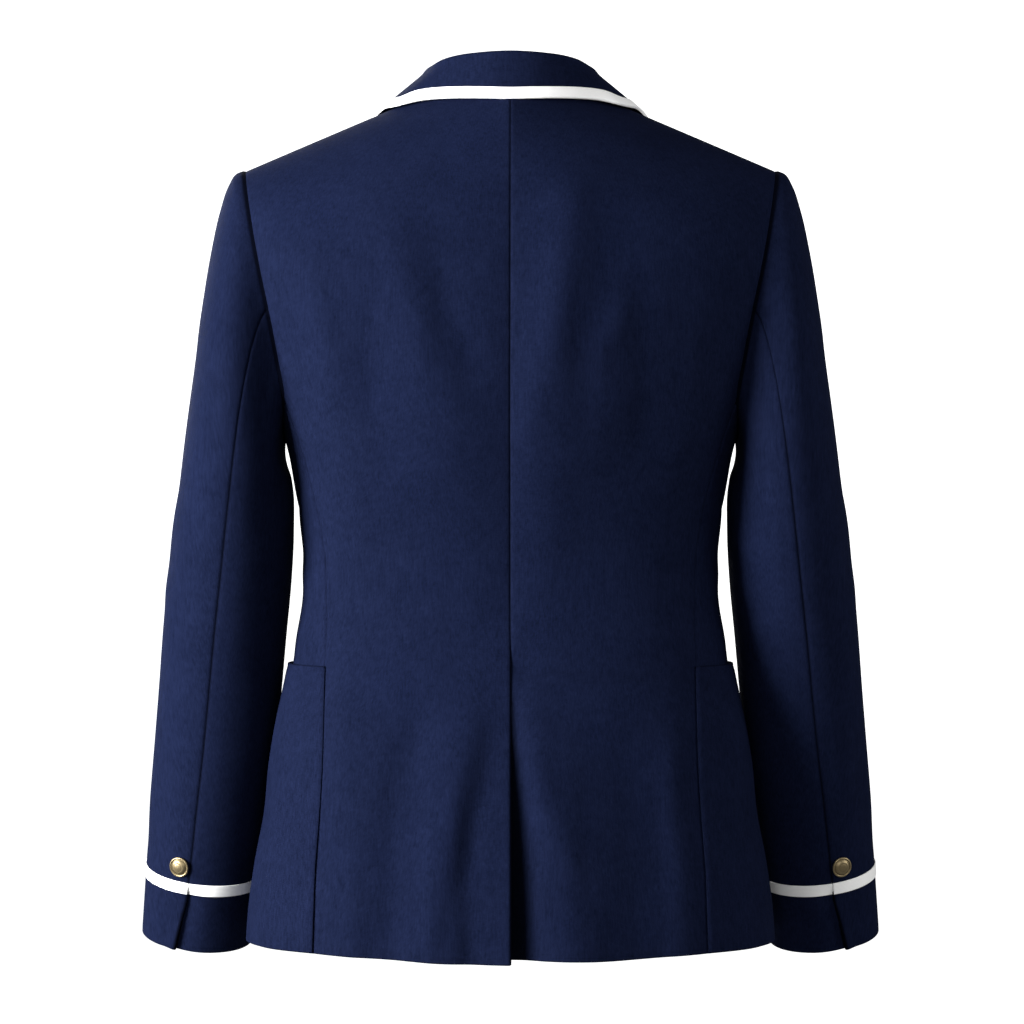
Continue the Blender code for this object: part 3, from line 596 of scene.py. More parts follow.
@dataclass(frozen=True)
class Worsted:
    """Navy worsted wool: a fine twill with a slight heather, darkened with painted shade in its seams."""

    name: str = "navy_worsted"
    dark: tuple = (0.0022, 0.0036, 0.0117, 1.0)
    light: tuple = (0.0063, 0.0095, 0.0291, 1.0)
    # seam: painted shade, the near-black that the wool is darkened towards in seams, beside the vent's flap
    # and at the pocket's edges
    seam: tuple = (0.0003, 0.0004, 0.0012, 1.0)
    thread: float = 0.00062
    sheen: float = 0.002
    # cells of each mottle in a metre; warp and weft follow the cloth, the others the garment's axes
    warp: tuple = (2600.0, 240.0, 1.0)
    weft: tuple = (260.0, 2400.0, 1.0)
    streak: tuple = (800.0, 800.0, 55.0)
    cloud: float = 30.0
    heather: float = 160.0
    nap: float = 900.0

    def make(self) -> bpy.types.Material:
        """Builds the material.

        Returns:
            The material.
        """
        shade = Shade(self.name)
        cloth = shade.node("ShaderNodeUVMap", {"uv_map": "cloth"})
        x, y, _ = shade.split(cloth)
        turn = 2 * math.pi / self.thread
        twill = shade.sine((x + y) * turn)
        cross = shade.sine((x - y * 0.6) * (turn * 1.37))
        weave = twill * 0.5 + cross * 0.22
        fleck = shade.noise(shade.stretched(cloth, self.warp), 1.0, 1.0, 0.5)
        slub = shade.noise(shade.stretched(cloth, self.weft), 1.0, 1.0, 0.5)
        solid = shade.coordinates()
        cloud = shade.noise(solid, self.cloud, 3.0, 0.6)
        heather = shade.noise(solid, self.heather, 3.0, 0.65)
        streak = shade.noise(shade.stretched(solid, self.streak), 1.0, 2.0, 0.6)
        share = fleck * 1.1 + slub * 1.0 + cloud * 0.45 + heather * 0.50 + streak * 1.1 + twill * 0.05 - 1.60
        colour = shade.mixed(share, self.dark, self.light)
        # painted shade: the seam attribute mixes the wool towards the seam colour where shade falls in
        # grooves
        deep = shade.node("ShaderNodeAttribute", {"attribute_name": "seam"}, None, "Fac")
        colour = shade.mixed(deep.power(1.6) * 0.85, colour, self.seam)
        nap = shade.noise(solid, self.nap, 2.0, 0.6)
        shade.feed("Base Color", colour)
        shade.feed("Roughness", fleck * 0.12 + 0.80)
        soft = shade.bump(cloud, 0.0006, 0.25)
        shade.feed("Normal", shade.bump(weave * 0.6 + nap * 0.7, 0.00022, 0.45, soft))
        shade.feed("Specular IOR Level", 0.01)
        shade.feed("Sheen Weight", self.sheen)
        shade.feed("Sheen Roughness", 0.38)
        shade.feed("Sheen Tint", (0.55, 0.66, 1.0, 1.0))
        return shade.material


@dataclass(frozen=True)
class Grosgrain:
    """White grosgrain ribbon: fine ribs across its width and a firm selvedge."""

    name: str = "white_grosgrain"
    colour: tuple = (0.93, 0.93, 0.915, 1.0)
    shadow: tuple = (0.80, 0.80, 0.80, 1.0)
    rib: float = 0.00115

    def make(self) -> bpy.types.Material:
        """Builds the material.

        Returns:
            The material.
        """
        shade = Shade(self.name)
        cloth = shade.node("ShaderNodeUVMap", {"uv_map": "cloth"})
        _, along, _ = shade.split(cloth)
        ribs = shade.sine(along * (2 * math.pi / self.rib)) * 0.5 + 0.5
        solid = shade.coordinates()
        grain = shade.noise(solid, 700.0, 2.0, 0.5)
        soft = shade.noise(solid, 60.0, 2.0, 0.5)
        share = ribs * 0.55 + grain * 0.25 + soft * 0.25
        shade.feed("Base Color", shade.mixed(share, self.shadow, self.colour))
        shade.feed("Roughness", 0.62 - ribs * 0.08)
        shade.feed("Normal", shade.bump(ribs + grain * 0.25, 0.00016, 0.6))
        shade.feed("Sheen Weight", 0.15)
        return shade.material


@dataclass(frozen=True)
class AntiqueBrass:
    """Antique brass: brushed, darker in its hollows, worn bright on its rims."""

    name: str = "antique_brass"
    bright: tuple = (0.34, 0.27, 0.155, 1.0)
    dull: tuple = (0.10, 0.076, 0.040, 1.0)

    def make(self) -> bpy.types.Material:
        """Builds the material.

        Returns:
            The material.
        """
        shade = Shade(self.name)
        solid = shade.coordinates()
        patina = shade.noise(solid, 420.0, 4.0, 0.6)
        fine = shade.noise(solid, 2600.0, 2.0, 0.5)
        edge = shade.node("ShaderNodeNewGeometry", None, None, "Pointiness")
        worn = shade.node("ShaderNodeMapRange", None, {"Value": edge, "From Min": 0.46, "From Max": 0.56})
        share = worn * 0.65 + patina * 0.45 - 0.05
        shade.feed("Base Color", shade.mixed(share, self.dull, self.bright))
        shade.feed("Metallic", 1.0)
        shade.feed("Roughness", 0.46 - worn * 0.12 + fine * 0.10)
        shade.feed("Normal", shade.bump(fine + patina, 0.0001, 0.35))
        return shade.material


@dataclass(frozen=True)
class Paper:
    """The seamless pale floor and backdrop, which glows a little so that it stays white."""

    name: str = "pale_backdrop"
    floor_glow: float = 0.86
    floor_level: float = -1.30

    def make(self) -> bpy.types.Material:
        """Builds the material.

        Returns:
            The material.
        """
        shade = Shade(self.name)
        _, _, height = shade.split(shade.coordinates())
        limits = {"Value": height, "From Min": self.floor_level + 0.02, "From Max": self.floor_level + 1.2}
        share = shade.node("ShaderNodeMapRange", {"interpolation_type": "SMOOTHSTEP"}, limits)
        low = (self.floor_glow, self.floor_glow, self.floor_glow, 1.0)
        shade.feed("Base Color", (0.86, 0.86, 0.86, 1.0))
        shade.feed("Emission Color", shade.mixed(share, low, (1.0, 1.0, 1.0, 1.0)))
        shade.feed("Emission Strength", 1.0)
        shade.feed("Roughness", 0.9)
        return shade.material


def object_of(name: str, shape: bmesh.types.BMesh, material: bpy.types.Material,
              collection: bpy.types.Collection) -> bpy.types.Object:
    """Makes a smooth object of a shape.

    Args:
        name: Name of the object.
        shape: Its shape, which is freed.
        material: Its finish.
        collection: Where the object goes.

    Returns:
        The object.
    """
    for face in shape.faces:
        face.smooth = True
    mesh = bpy.data.meshes.new(name)
    shape.to_mesh(mesh)
    shape.free()
    mesh.materials.append(material)
    made = bpy.data.objects.new(name, mesh)
    collection.objects.link(made)
    return made


class Sewing:
    def __init__(self) -> None:
        """Makes the finishes and the collection for the pieces."""
        self.wool = Worsted().make()
        self.ribbon = Grosgrain().make()
        self.brass = AntiqueBrass().make()
        self.collection = bpy.data.collections.new("blazer_looks")
        bpy.context.scene.collection.children.link(self.collection)

    def finished(self, name: str, shape: bmesh.types.BMesh, material: bpy.types.Material,
                 node: str) -> bpy.types.Object:
        """Puts a shape in its node's place, as a piece of the garment.

        Args:
            name: Name of the piece.
            shape: Its shape, which is freed.
            material: Its finish.
            node: The node that it replaces.

        Returns:
            The piece.
        """
        piece = object_of(name, shape, material, self.collection)
        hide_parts(node)
        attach(piece, "root")
        return piece

    def cloth(self, name: str, surface: Surface, thickness: float, material: bpy.types.Material,
              slot: str, node: str) -> bpy.types.Object:
        """Makes one thin piece of cloth.

        Args:
            name: Name of the piece.
            surface: Its middle surface.
            thickness: Thickness of the cloth.
            material: Its finish.
            slot: Not used.
            node: The node that it replaces.

        Returns:
            The piece.
        """
        rows, columns = surface.points.shape[:2]
        across, down = surface.across(), surface.down()
        sheet = bmesh.new()
        layer = sheet.loops.layers.uv.new("cloth")
        # the seam attribute carries each point's painted shade to the wool
        depth = sheet.verts.layers.float.new("seam")
        bmesh.ops.create_grid(sheet, x_segments=columns - 1, y_segments=rows - 1, size=0.5)
        place = {}
        for vertex in sheet.verts:
            column = round((vertex.co.x + 0.5) * (columns - 1))
            row = round((vertex.co.y + 0.5) * (rows - 1))
            place[vertex] = (row, column)
            vertex.co = surface.points[row, column]
            vertex[depth] = surface.painted_shade[row, column]
        for face in sheet.faces:
            for loop in face.loops:
                row, column = place[loop.vert]
                loop[layer].uv = (across[row, column], down[row, column])
        piece = self.finished(name, sheet, material, node)
        wall = piece.modifiers.new("Wall", "SOLIDIFY")
        wall.thickness = thickness
        wall.offset = 0.0
        fold = piece.modifiers.new("Fold", "BEVEL")
        fold.width = thickness * 0.42
        fold.segments = 2
        fold.limit_method = "ANGLE"
        fold.angle_limit = math.radians(60)
        log.info("%s: %d by %d points", name, rows, columns)
        return piece

    def panel(self, name: str, surface: Surface, node: str, held: Hold) -> None:
        """A piece of wool, made as a thin sheet of cloth.

        Args:
            name: Name of the piece.
            surface: Its middle surface.
            node: The node that it replaces.
            held: Not used.
        """
        piece = self.cloth(name, surface, WOOL_THICKNESS, self.wool, "navy_wool", node)
        surface.area()

    def trim(self, name: str, surface: Surface, node: str) -> None:
        """A strip of ribbon, which lies on the panel below it."""
        self.cloth(name, surface, RIBBON_THICKNESS, self.ribbon, "white_ribbon", node)


@dataclass
class Cut:
    """Sizes that the pieces share, in metres."""

    ridge_top: float = 0.0446
    shoulder_slope: float = 0.4245
    ridge_depth: float = -0.004
    shoulder_round: float = 0.110
    roundness: float = 2.3
    neck_half: float = 0.072
    neck_back: float = 0.013
    shoulder_half: float = 0.2208
    armhole_top: float = -0.0485
    armhole_seam: float = -0.239
    underarm: float = -0.272
    hem_side: float = -0.685
    hem_back_drop: float = 0.006
    hem_front_drop: float = 0.010
    corner_width: float = 0.088
    corner_height: float = 0.118
    upper_rows: int = 9
    layer: float = 0.0026
    front_layer: float = 0.0036
    valley_depth: float = 0.003
    valley_width: float = 0.016
    valley_top: tuple = (0.05, 0.16)
    valley_end: tuple = (0.40, 0.46)
    # where the large folds come in and go out, as shares of their length
    fold_start: tuple = (-0.12, 0.35)
    fold_stop: tuple = (0.72, 1.1)
    # where the front that lies on top is lifted: distances from the centre, levels below the origin
    over_x: tuple = (0.035, 0.095)
    over_top: tuple = (0.20, 0.24)
    over_break: tuple = (0.338, 0.371)
    # how the rows above the armhole's end draw together at the top
    row_growth: float = 1.9
    # the lower layer of the vent hangs shorter by this, up to a distance from the centre
    vent_short: float = 0.0033
    vent_short_width: float = 0.10
    overlap: float = 0.020
    gorge_x: float = 0.064
    gorge_level: float = -0.036
    levels: tuple = (
        -0.239, -0.262, -0.287, -0.310, -0.334, -0.371, -0.404, -0.437,
        -0.4575, -0.470, -0.502, -0.540, -0.580, -0.620, -0.655, -0.685,
    )
    break_row: int = 4
    gorge_row: int = 4
    pocket_row: int = 8
    vent_row: int = 9
    # level, half width, back depth, front depth
    body: tuple = (
        (0.020, 0.286, 0.088, 0.060),
        (-0.020, 0.272, 0.093, 0.074),
        (-0.050, 0.262, 0.098, 0.094),
        (-0.080, 0.250, 0.105, 0.110),
        (-0.126, 0.232, 0.113, 0.126),
        (-0.172, 0.216, 0.119, 0.136),
        (-0.205, 0.206, 0.120, 0.138),
        (-0.239, 0.1965, 0.118, 0.138),
        (-0.262, 0.1890, 0.115, 0.136),
        (-0.287, 0.1825, 0.110, 0.133),
        (-0.334, 0.1752, 0.099, 0.126),
        (-0.371, 0.1712, 0.093, 0.122),
        (-0.404, 0.1722, 0.093, 0.122),
        (-0.437, 0.1775, 0.098, 0.124),
        (-0.4575, 0.1800, 0.102, 0.125),
        (-0.502, 0.1908, 0.110, 0.128),
        (-0.540, 0.1972, 0.116, 0.130),
        (-0.580, 0.2010, 0.120, 0.131),
        (-0.620, 0.2085, 0.125, 0.132),
        (-0.655, 0.2135, 0.128, 0.133),
        (-0.695, 0.2165, 0.130, 0.134),
    )
    # level, back edge x, front edge x
    armhole: tuple = (
        (-0.0485, 0.2208, 0.2208),
        (-0.084, 0.2143, 0.2060),
        (-0.126, 0.2063, 0.1925),
        (-0.166, 0.1978, 0.1855),
        (-0.205, 0.1905, 0.1825),
        (-0.239, 0.1850, 0.1815),
    )
    # level, side-back seam x, side-front seam depth
    side_seams: tuple = (
        (-0.239, 0.1850, 0.0600),
        (-0.262, 0.1770, 0.0590),
        (-0.3025, 0.1640, 0.0580),
        (-0.334, 0.1566, 0.0575),
        (-0.371, 0.1512, 0.0570),
        (-0.4575, 0.1501, 0.0580),
        (-0.520, 0.1509, 0.0600),
        (-0.565, 0.1524, 0.0620),
        (-0.606, 0.1560, 0.0640),
        (-0.695, 0.1590, 0.0660),
    )
    # top x, top level, end x, end level, width, height
    folds_left: tuple = (
        (0.165, -0.10, 0.132, -0.36, 0.020, 0.0026),
        (0.095, -0.11, 0.045, -0.33, 0.022, 0.0028),
        (0.122, -0.16, 0.100, -0.30, 0.018, -0.0024),
        (0.136, -0.44, 0.132, -0.72, 0.022, 0.0034),
        (0.072, -0.47, 0.104, -0.72, 0.020, -0.0040),
        (0.034, -0.46, 0.062, -0.72, 0.018, 0.0036),
        (0.028, -0.54, 0.030, -0.72, 0.014, -0.0022),
    )
    folds_right: tuple = (
        (0.170, -0.14, 0.134, -0.34, 0.018, 0.0024),
        (0.110, -0.13, 0.066, -0.30, 0.024, 0.0026),
        (0.052, -0.07, 0.010, -0.32, 0.018, 0.0028),
        (0.020, -0.47, 0.064, -0.72, 0.022, 0.0040),
        (0.092, -0.50, 0.118, -0.72, 0.024, -0.0034),
        (0.132, -0.46, 0.142, -0.72, 0.020, 0.0022),
    )

    def section_share(self, share: float) -> float:
        """Depth of the body's section, as a share of its full depth, at a share of its width."""
        return clamp(1 - clamp(abs(share)) ** self.roundness) ** (1 / self.roundness)

    def shoulder_share(self, x: float, z: float) -> float:
        """How far the cloth has come off the shoulder's ridge, from 0 to 1."""
        drop = clamp((self.ridge_level(x) - z) / self.shoulder_round)
        return math.sqrt(1 - (1 - drop) ** 2)

    def ridge_level(self, x: float) -> float:
        """Level of the shoulder seam at a distance from the centre."""
        return self.ridge_top - self.shoulder_slope * abs(x)

    def neck_level(self, x: float) -> float:
        """Level of the back neck seam at a distance from the centre."""
        end = self.ridge_level(self.neck_half)
        return self.neck_back + (end - self.neck_back) * (x / self.neck_half) ** 2

    def hem_level(self, x: float) -> float:
        """Level of the back hem at a distance from the centre."""
        return self.hem_side - self.hem_back_drop * (1 - float(ease(abs(x), 0.0, 0.190)))

    def fold_height(self, side: Side, x: float, z: float) -> float:
        """Height of the back's large folds at a place.

        Args:
            side: Which back.
            x: Distance from the centre.
            z: Level.

        Returns:
            The height in metres.
        """
        height = 0.0
        folds = self.folds_left if side is Side.LEFT else self.folds_right
        for top_x, top, end_x, end, width, rise in folds:
            along = (z - top) / (end - top)
            middle = top_x + (end_x - top_x) * along
            across = math.exp(-(((abs(x) - middle) / width) ** 2))
            fade = 1.0 if end < self.hem_side else 1 - float(ease(along, *self.fold_stop))
            height += rise * across * float(ease(along, *self.fold_start)) * fade
        return height

    def back_depth(self, side: Side, x: float, z: float) -> float:
        """The back's y at a place."""
        half = table_value(self.body, z, 1)
        depth = table_value(self.body, z, 2) * self.section_share(x / half) * self.shoulder_share(x, z)
        valley = self.valley_depth * math.exp(-((x / self.valley_width) ** 2))
        valley *= float(ease(-z, *self.valley_top) * (1 - ease(-z, *self.valley_end)))
        loose = 1 - float(ease(abs(x) / half, 0.80, 0.93))
        return self.ridge_depth + depth - valley + loose * self.fold_height(side, x, z)

    def front_depth(self, side: Side, x: float, z: float) -> float:
        """The front's y at a place."""
        half = table_value(self.body, z, 1)
        depth = table_value(self.body, z, 3) * self.section_share(x / half) * self.shoulder_share(x, z)
        over = 1.0 - float(ease(x, *self.over_x)) if side is Side.LEFT else 0.0
        level = float(ease(-z, *self.over_top) * (2 - ease(-z, *self.over_break)))
        return self.ridge_depth - depth - over * level * self.front_layer

    def side_x(self, y: float, z: float) -> float:
        """Half width of the body at a depth, on the side pieces."""
        full = table_value(self.body, z, 2 if y > self.ridge_depth else 3)
        return table_value(self.body, z, 1) * self.section_share((y - self.ridge_depth) / full)

    def upper_shares(self) -> list[float]:
        """Shares of the way down from the shoulder seam, closer together at the top."""
        return [(row / self.upper_rows) ** self.row_growth for row in range(self.upper_rows + 1)]

    def armhole_line(self, column: int) -> list[tuple[float, float]]:
        """Places of the armhole's edge, on the back (column 1) or the front (2)."""
        line = []
        for share in self.upper_shares():
            level = self.armhole_top + (self.armhole_seam - self.armhole_top) * share
            line.append((table_value(self.armhole, level, column), level))
        return line

    def blend_patch(self, top: list, bottom: list, left: list, right: list) -> list:
        """A grid of places between four edges that meet at their ends.

        Args:
            top: Places along the top edge.
            bottom: As many places along the bottom edge.
            left: Places down the left edge.
            right: As many places down the right edge.

        Returns:
            Rows of (x, z).
        """
        grid = []
        for row, w in enumerate(self.upper_shares()):
            line = []
            for column in range(len(top)):
                u = column / (len(top) - 1)
                pair = []
                for axis in (0, 1):
                    straight = (1 - w) * top[column][axis] + w * bottom[column][axis]
                    left_off = left[row][axis] - ((1 - w) * left[0][axis] + w * left[-1][axis])
                    right_off = right[row][axis] - ((1 - w) * right[0][axis] + w * right[-1][axis])
                    pair.append(straight + (1 - u) * left_off + u * right_off)
                line.append(tuple(pair))
            grid.append(line)
        return grid

    def vent_level(self, side: Side, x: float, level: float, row: int) -> float:
        """The hem's curve, with the flap on top hanging a little lower."""
        reach = float(ease(row, len(self.levels) - 4, len(self.levels) - 1))
        near = 1 - float(ease(abs(x), 0.0, self.vent_short_width))
        short = self.vent_short * near if side is Side.RIGHT else 0.0
        return level + (self.hem_level(x) - self.hem_side + short) * reach


@dataclass
class Torso:
    """One half of the body: back, side piece, front, pocket, lapel and its ribbon."""

    cut: Cut
    side: Side
    back_columns: int = 10
    side_columns: int = 4
    front_columns: int = 10
    underlap: float = 0.028
    lapel_width: float = 0.082
    lapel_roll: float = 0.005
    roll_width: float = 0.016
    # how far the turned-back cloth stands past the front's edge, first and at its turn
    roll_start: float = 0.0018
    roll_reach: float = 0.0030
    roll_rise: float = 0.0014
    lapel_tip: float = 0.005
    hem_rows: int = 4
    pocket_columns: int = 5
    pocket_reach: float = 0.0014
    mouth_hem: float = 0.0030
    mouth_stitch: float = 0.0005
    mouth_sag: float = 0.0016
    # share of its seams' painted shade that the side piece keeps
    flank_shade: float = 0.4
    shoulder_seam_depth: float = 0.0005
    # distances from a seam between which creases come in
    crease_free: tuple = (0.001, 0.014)
    edge_free: tuple = (0.004, 0.020)
    # the side-back seam's painted shade, past this distance from the centre, is fainter below these levels
    seam_aside: float = 0.05
    faint_levels: tuple = (0.24, 0.28)
    # levels below the origin where the pocket's mouth calms the side seam and its painted shade
    mouth_levels: tuple = (0.43, 0.45)
    # the vent's flap: width of its fold, and levels below the origin where it begins
    flap_fold: float = 0.011
    flap_levels: tuple = (0.438, 0.454)
    flap_width: float = 0.03
    flap_lift: float = 0.0015
    flap_lifts: tuple = (0.50, 0.68)
    # the layer below the flap: levels below the origin where it goes one layer down, and more
    tuck_levels: tuple = (0.430, 0.456)
    tuck_depth: float = 0.0065
    tuck_opens: tuple = (0.47, 0.68)
    tuck_reach: tuple = (0.002, 0.034)
    # the wedge beside the flap, pressed in and darkened with painted shadow
    vent_start: float = 0.472
    wedge_end: float = 0.66
    wedge_onset: float = 0.012
    wedge_top: float = 0.0040
    wedge_width: float = 0.020
    wedge_depth: float = 0.0016
    # shares of the lapel's length where its roll flattens, and the power of its edge's curve
    roll_flattens: tuple = (0.35, 0.72)
    lapel_curve: float = 0.82
    # the lapel's mesh, its notch and the ribbon's fold round its edge
    lapel_steps: int = 6
    notch_share: float = 0.80
    gorge_reach: float = 0.0009
    gorge_depth: float = 0.0005
    ribbon_wrap: float = 0.0016
    back: list = field(default_factory=list)
    flank: list = field(default_factory=list)
    front: list = field(default_factory=list)

    def back_point(self, x: float, z: float) -> Vector:
        """A point of the back, with the vent's two sides tucked and lifted.

        Args:
            x: Distance from the centre, negative past it.
            z: Level.

        Returns:
            The point.
        """
        cut = self.cut
        y = cut.back_depth(self.side, max(x, 0.0), z)
        if self.side is Side.RIGHT:
            tuck = cut.layer * ease(-z, *self.tuck_levels) + self.tuck_depth * ease(-z, *self.tuck_opens)
            y -= float(tuck * (1 - ease(x, *self.tuck_reach)))
        else:
            y += float(self.flap_lift * ease(-z, *self.flap_lifts) * (1 - ease(x, 0.0, self.flap_width)))
        return Vector((self.side.value * x, y, z))

    def shape_back(self) -> None:
        """Works out the back's points, from the neck and shoulder to the hem."""
        cut = self.cut
        neck_columns = 4
        top = []
        for column in range(self.back_columns + 1):
            if column <= neck_columns:
                x = cut.neck_half * column / neck_columns
                top.append((x, cut.neck_level(x)))
            else:
                share = (column - neck_columns) / (self.back_columns - neck_columns)
                x = cut.neck_half + (cut.shoulder_half - cut.neck_half) * share
                top.append((x, cut.ridge_level(x)))
        end_x = table_value(cut.side_seams, cut.armhole_seam, 1)
        shares = [column / self.back_columns for column in range(self.back_columns + 1)]
        bottom = [(end_x * share, cut.armhole_seam) for share in shares]
        centre = [(0.0, cut.neck_back + (cut.armhole_seam - cut.neck_back) * s) for s in cut.upper_shares()]
        flat = cut.blend_patch(top, bottom, centre, cut.armhole_line(1))
        for row in range(1, len(cut.levels)):
            level = cut.levels[row]
            seam = table_value(cut.side_seams, level, 1)
            start = -self.underlap if self.side is Side.RIGHT and row >= cut.vent_row else 0.0
            columns = range(self.back_columns + 1)
            line = [start + (seam - start) * column / self.back_columns for column in columns]
            flat.append([(x, cut.vent_level(self.side, x, level, row)) for x in line])
        self.back = [[self.back_point(x, z) for x, z in line] for line in flat]

    def shape_flank(self) -> None:
        """Works out the side piece's points, under the armhole down to the hem."""
        cut = self.cut
        self.flank = []
        for row, level in enumerate(cut.levels):
            seam = table_value(cut.side_seams, level, 1)
            z_seam = cut.vent_level(Side.LEFT, seam, level, row)
            back_y = cut.back_depth(self.side, seam, z_seam)
            front_y = -table_value(cut.side_seams, level, 2)
            dip = (cut.armhole_seam - cut.underarm) * (1 - float(ease(-level, 0.235, 0.325)))
            line = []
            for column in range(self.side_columns + 1):
                share = column / self.side_columns
                y = back_y + (front_y - back_y) * share
                z = z_seam - dip * (1 - (2 * share - 1) ** 2)
                x = cut.side_x(y, z) if column > 0 else seam
                line.append(Vector((self.side.value * x, y, z)))
            self.flank.append(line)

    def front_point(self, x: float, z: float) -> Vector:
        """A point of the front."""
        return Vector((self.side.value * x, self.cut.front_depth(self.side, x, z), z))

    def front_edge_x(self, level: float) -> float:
        """Front edge or roll line, measured from the centre towards its own side.

        Args:
            level: Level at which it is read.

        Returns:
            The distance, negative past the centre.
        """
        cut = self.cut
        end_level = cut.levels[cut.break_row]
        if level > cut.gorge_level:
            start_level = cut.ridge_level(cut.neck_half)
            share = (start_level - level) / (start_level - cut.gorge_level)
            return cut.neck_half + (cut.gorge_x - cut.neck_half) * share
        if level > end_level:
            share = (cut.gorge_level - level) / (cut.gorge_level - end_level)
            return cut.gorge_x + (-cut.overlap - cut.gorge_x) * share
        down = clamp((cut.hem_side - cut.hem_front_drop + cut.corner_height - level) / cut.corner_height)
        return -cut.overlap + cut.corner_width * (1 - math.sqrt(1 - down * down))

    def corner_rise(self, x: float) -> float:
        """How far the front hem has risen above its lowest level, round the corner."""
        aside = clamp((self.cut.corner_width - self.cut.overlap - x) / self.cut.corner_width)
        return self.cut.corner_height * (1 - math.sqrt(1 - aside * aside))

    def shape_front(self) -> None:
        """Works out the front's points, from its edge to the armhole and side seam."""
        cut = self.cut
        start_level = cut.ridge_level(cut.neck_half)
        columns = range(self.front_columns + 1)
        shoulder = cut.shoulder_half - cut.neck_half
        top = [cut.neck_half + shoulder * column / self.front_columns for column in columns]
        top = [(x, cut.ridge_level(x)) for x in top]
        seam_end = cut.side_x(-table_value(cut.side_seams, cut.armhole_seam, 2), cut.armhole_seam)
        edge = []
        for share in cut.upper_shares():
            level = start_level + (cut.armhole_seam - start_level) * share
            edge.append((self.front_edge_x(level), level))
        width = seam_end - edge[-1][0]
        bottom = [edge[-1][0] + width * column / self.front_columns for column in columns]
        bottom = [(x, cut.armhole_seam) for x in bottom]
        hole = cut.armhole_line(2)
        hole[-1] = (seam_end, cut.armhole_seam)
        flat = cut.blend_patch(top, bottom, edge, hole)
        for row in range(1, len(cut.levels)):
            level = cut.levels[row]
            z_seam = cut.vent_level(Side.LEFT, table_value(cut.side_seams, level, 1), level, row)
            seam = cut.side_x(-table_value(cut.side_seams, level, 2), z_seam)
            reach = float(ease(row, len(cut.levels) - 5, len(cut.levels) - 1))
            z_edge = level + (cut.corner_height * (1 - math.sqrt(0.5)) - cut.hem_front_drop) * reach
            start = self.front_edge_x(z_edge)
            line = []
            for column in columns:
                share = column / self.front_columns
                x = start + (seam - start) * share
                hem = self.corner_rise(x) - cut.hem_front_drop * (1 - float(ease(share, 0.20, 1.0)))
                inner = 1 - float(ease(share, 0.45, 1.0))
                line.append((x, z_seam + (level - z_seam + hem * reach) * inner))
            line[0] = (start, z_edge)
            flat.append(line)
        self.front = [[self.front_point(x, z) for x, z in line] for line in flat]

    def shape(self) -> None:
        """Works out every panel's points and joins them at their seams."""
        self.shape_back()
        self.shape_flank()
        self.shape_front()
        for row in range(len(self.cut.levels)):
            self.flank[row][0] = self.back[self.cut.upper_rows + row][-1].copy()
            self.flank[row][-1] = self.front[self.cut.upper_rows + row][-1].copy()

    def back_creases(self) -> tuple[Crease, ...]:
        """Small creases of the back, in |x| and z."""
        if self.side is Side.LEFT:
            return (
                Crease((0.164, -0.110), (0.137, -0.250), 0.016, 0.0019),
                Crease((0.109, -0.170), (0.104, -0.245), 0.014, -0.0010, 0.4, 0.4),
                Crease((0.097, -0.100), (0.028, -0.275), 0.018, 0.0024, 0.3, 0.2, 0.007),
                Crease((0.070, -0.090), (0.020, -0.230), 0.014, -0.0013, 0.3, 0.3, 0.006),
                Crease((0.150, -0.290), (0.112, -0.380), 0.020, 0.0014),
                Crease((0.150, -0.372), (0.167, -0.358), 0.0035, -0.0013, 0.4, 0.6),
                Crease((0.137, -0.455), (0.137, -0.600), 0.016, 0.0016),
                Crease((0.068, -0.485), (0.098, -0.580), 0.013, -0.0013, 0.3, 0.3),
                Crease((0.030, -0.495), (0.069, -0.645), 0.012, 0.0014, 0.2, 0.3, -0.005),
                Crease((0.016, -0.510), (0.058, -0.690), 0.010, -0.0013, 0.2, 0.1, -0.004),
                Crease((0.134, -0.668), (0.105, -0.672), 0.006, -0.0006, 0.4, 0.4),
            )
        return (
            Crease((0.046, -0.040), (0.014, -0.400), 0.030, 0.0044, 0.2, 0.4, 0.012),
            Crease((0.052, -0.070), (0.010, -0.270), 0.015, 0.0018, 0.2, 0.3, 0.008),
            Crease((0.094, -0.160), (0.064, -0.225), 0.011, 0.0020, 0.4, 0.4),
            Crease((0.108, -0.130), (0.106, -0.290), 0.014, -0.0014),
            Crease((0.168, -0.225), (0.140, -0.285), 0.009, 0.0015, 0.3, 0.4),
            Crease((0.008, -0.470), (0.050, -0.625), 0.012, 0.0022, 0.2, 0.3, -0.006),
            Crease((0.117, -0.560), (0.122, -0.650), 0.014, -0.0015, 0.4, 0.4),
            Crease((0.130, -0.510), (0.128, -0.600), 0.010, 0.0010, 0.4, 0.4),
            Crease((0.050, -0.640), (0.046, -0.700), 0.014, 0.0012, 0.4, 0.1),
        )

    def front_creases(self) -> tuple[Crease, ...]:
        """Soft creases of the front, in |x| and z."""
        if self.side is Side.LEFT:
            return (
                Crease((0.150, -0.120), (0.118, -0.270), 0.016, 0.0020),
                Crease((0.020, -0.385), (0.105, -0.330), 0.010, -0.0016, 0.1, 0.5, 0.006),
                Crease((0.040, -0.400), (0.125, -0.385), 0.008, 0.0011, 0.15, 0.5, -0.004),
                Crease((0.050, -0.520), (0.064, -0.690), 0.016, 0.0018),
            )
        return (
            Crease((0.142, -0.100), (0.125, -0.250), 0.018, 0.0017),
            Crease((0.018, -0.372), (0.100, -0.350), 0.011, -0.0014, 0.1, 0.5, -0.005),
            Crease((0.060, -0.410), (0.120, -0.372), 0.009, 0.0012, 0.2, 0.5, 0.004),
            Crease((0.074, -0.540), (0.066, -0.690), 0.014, 0.0015),
        )

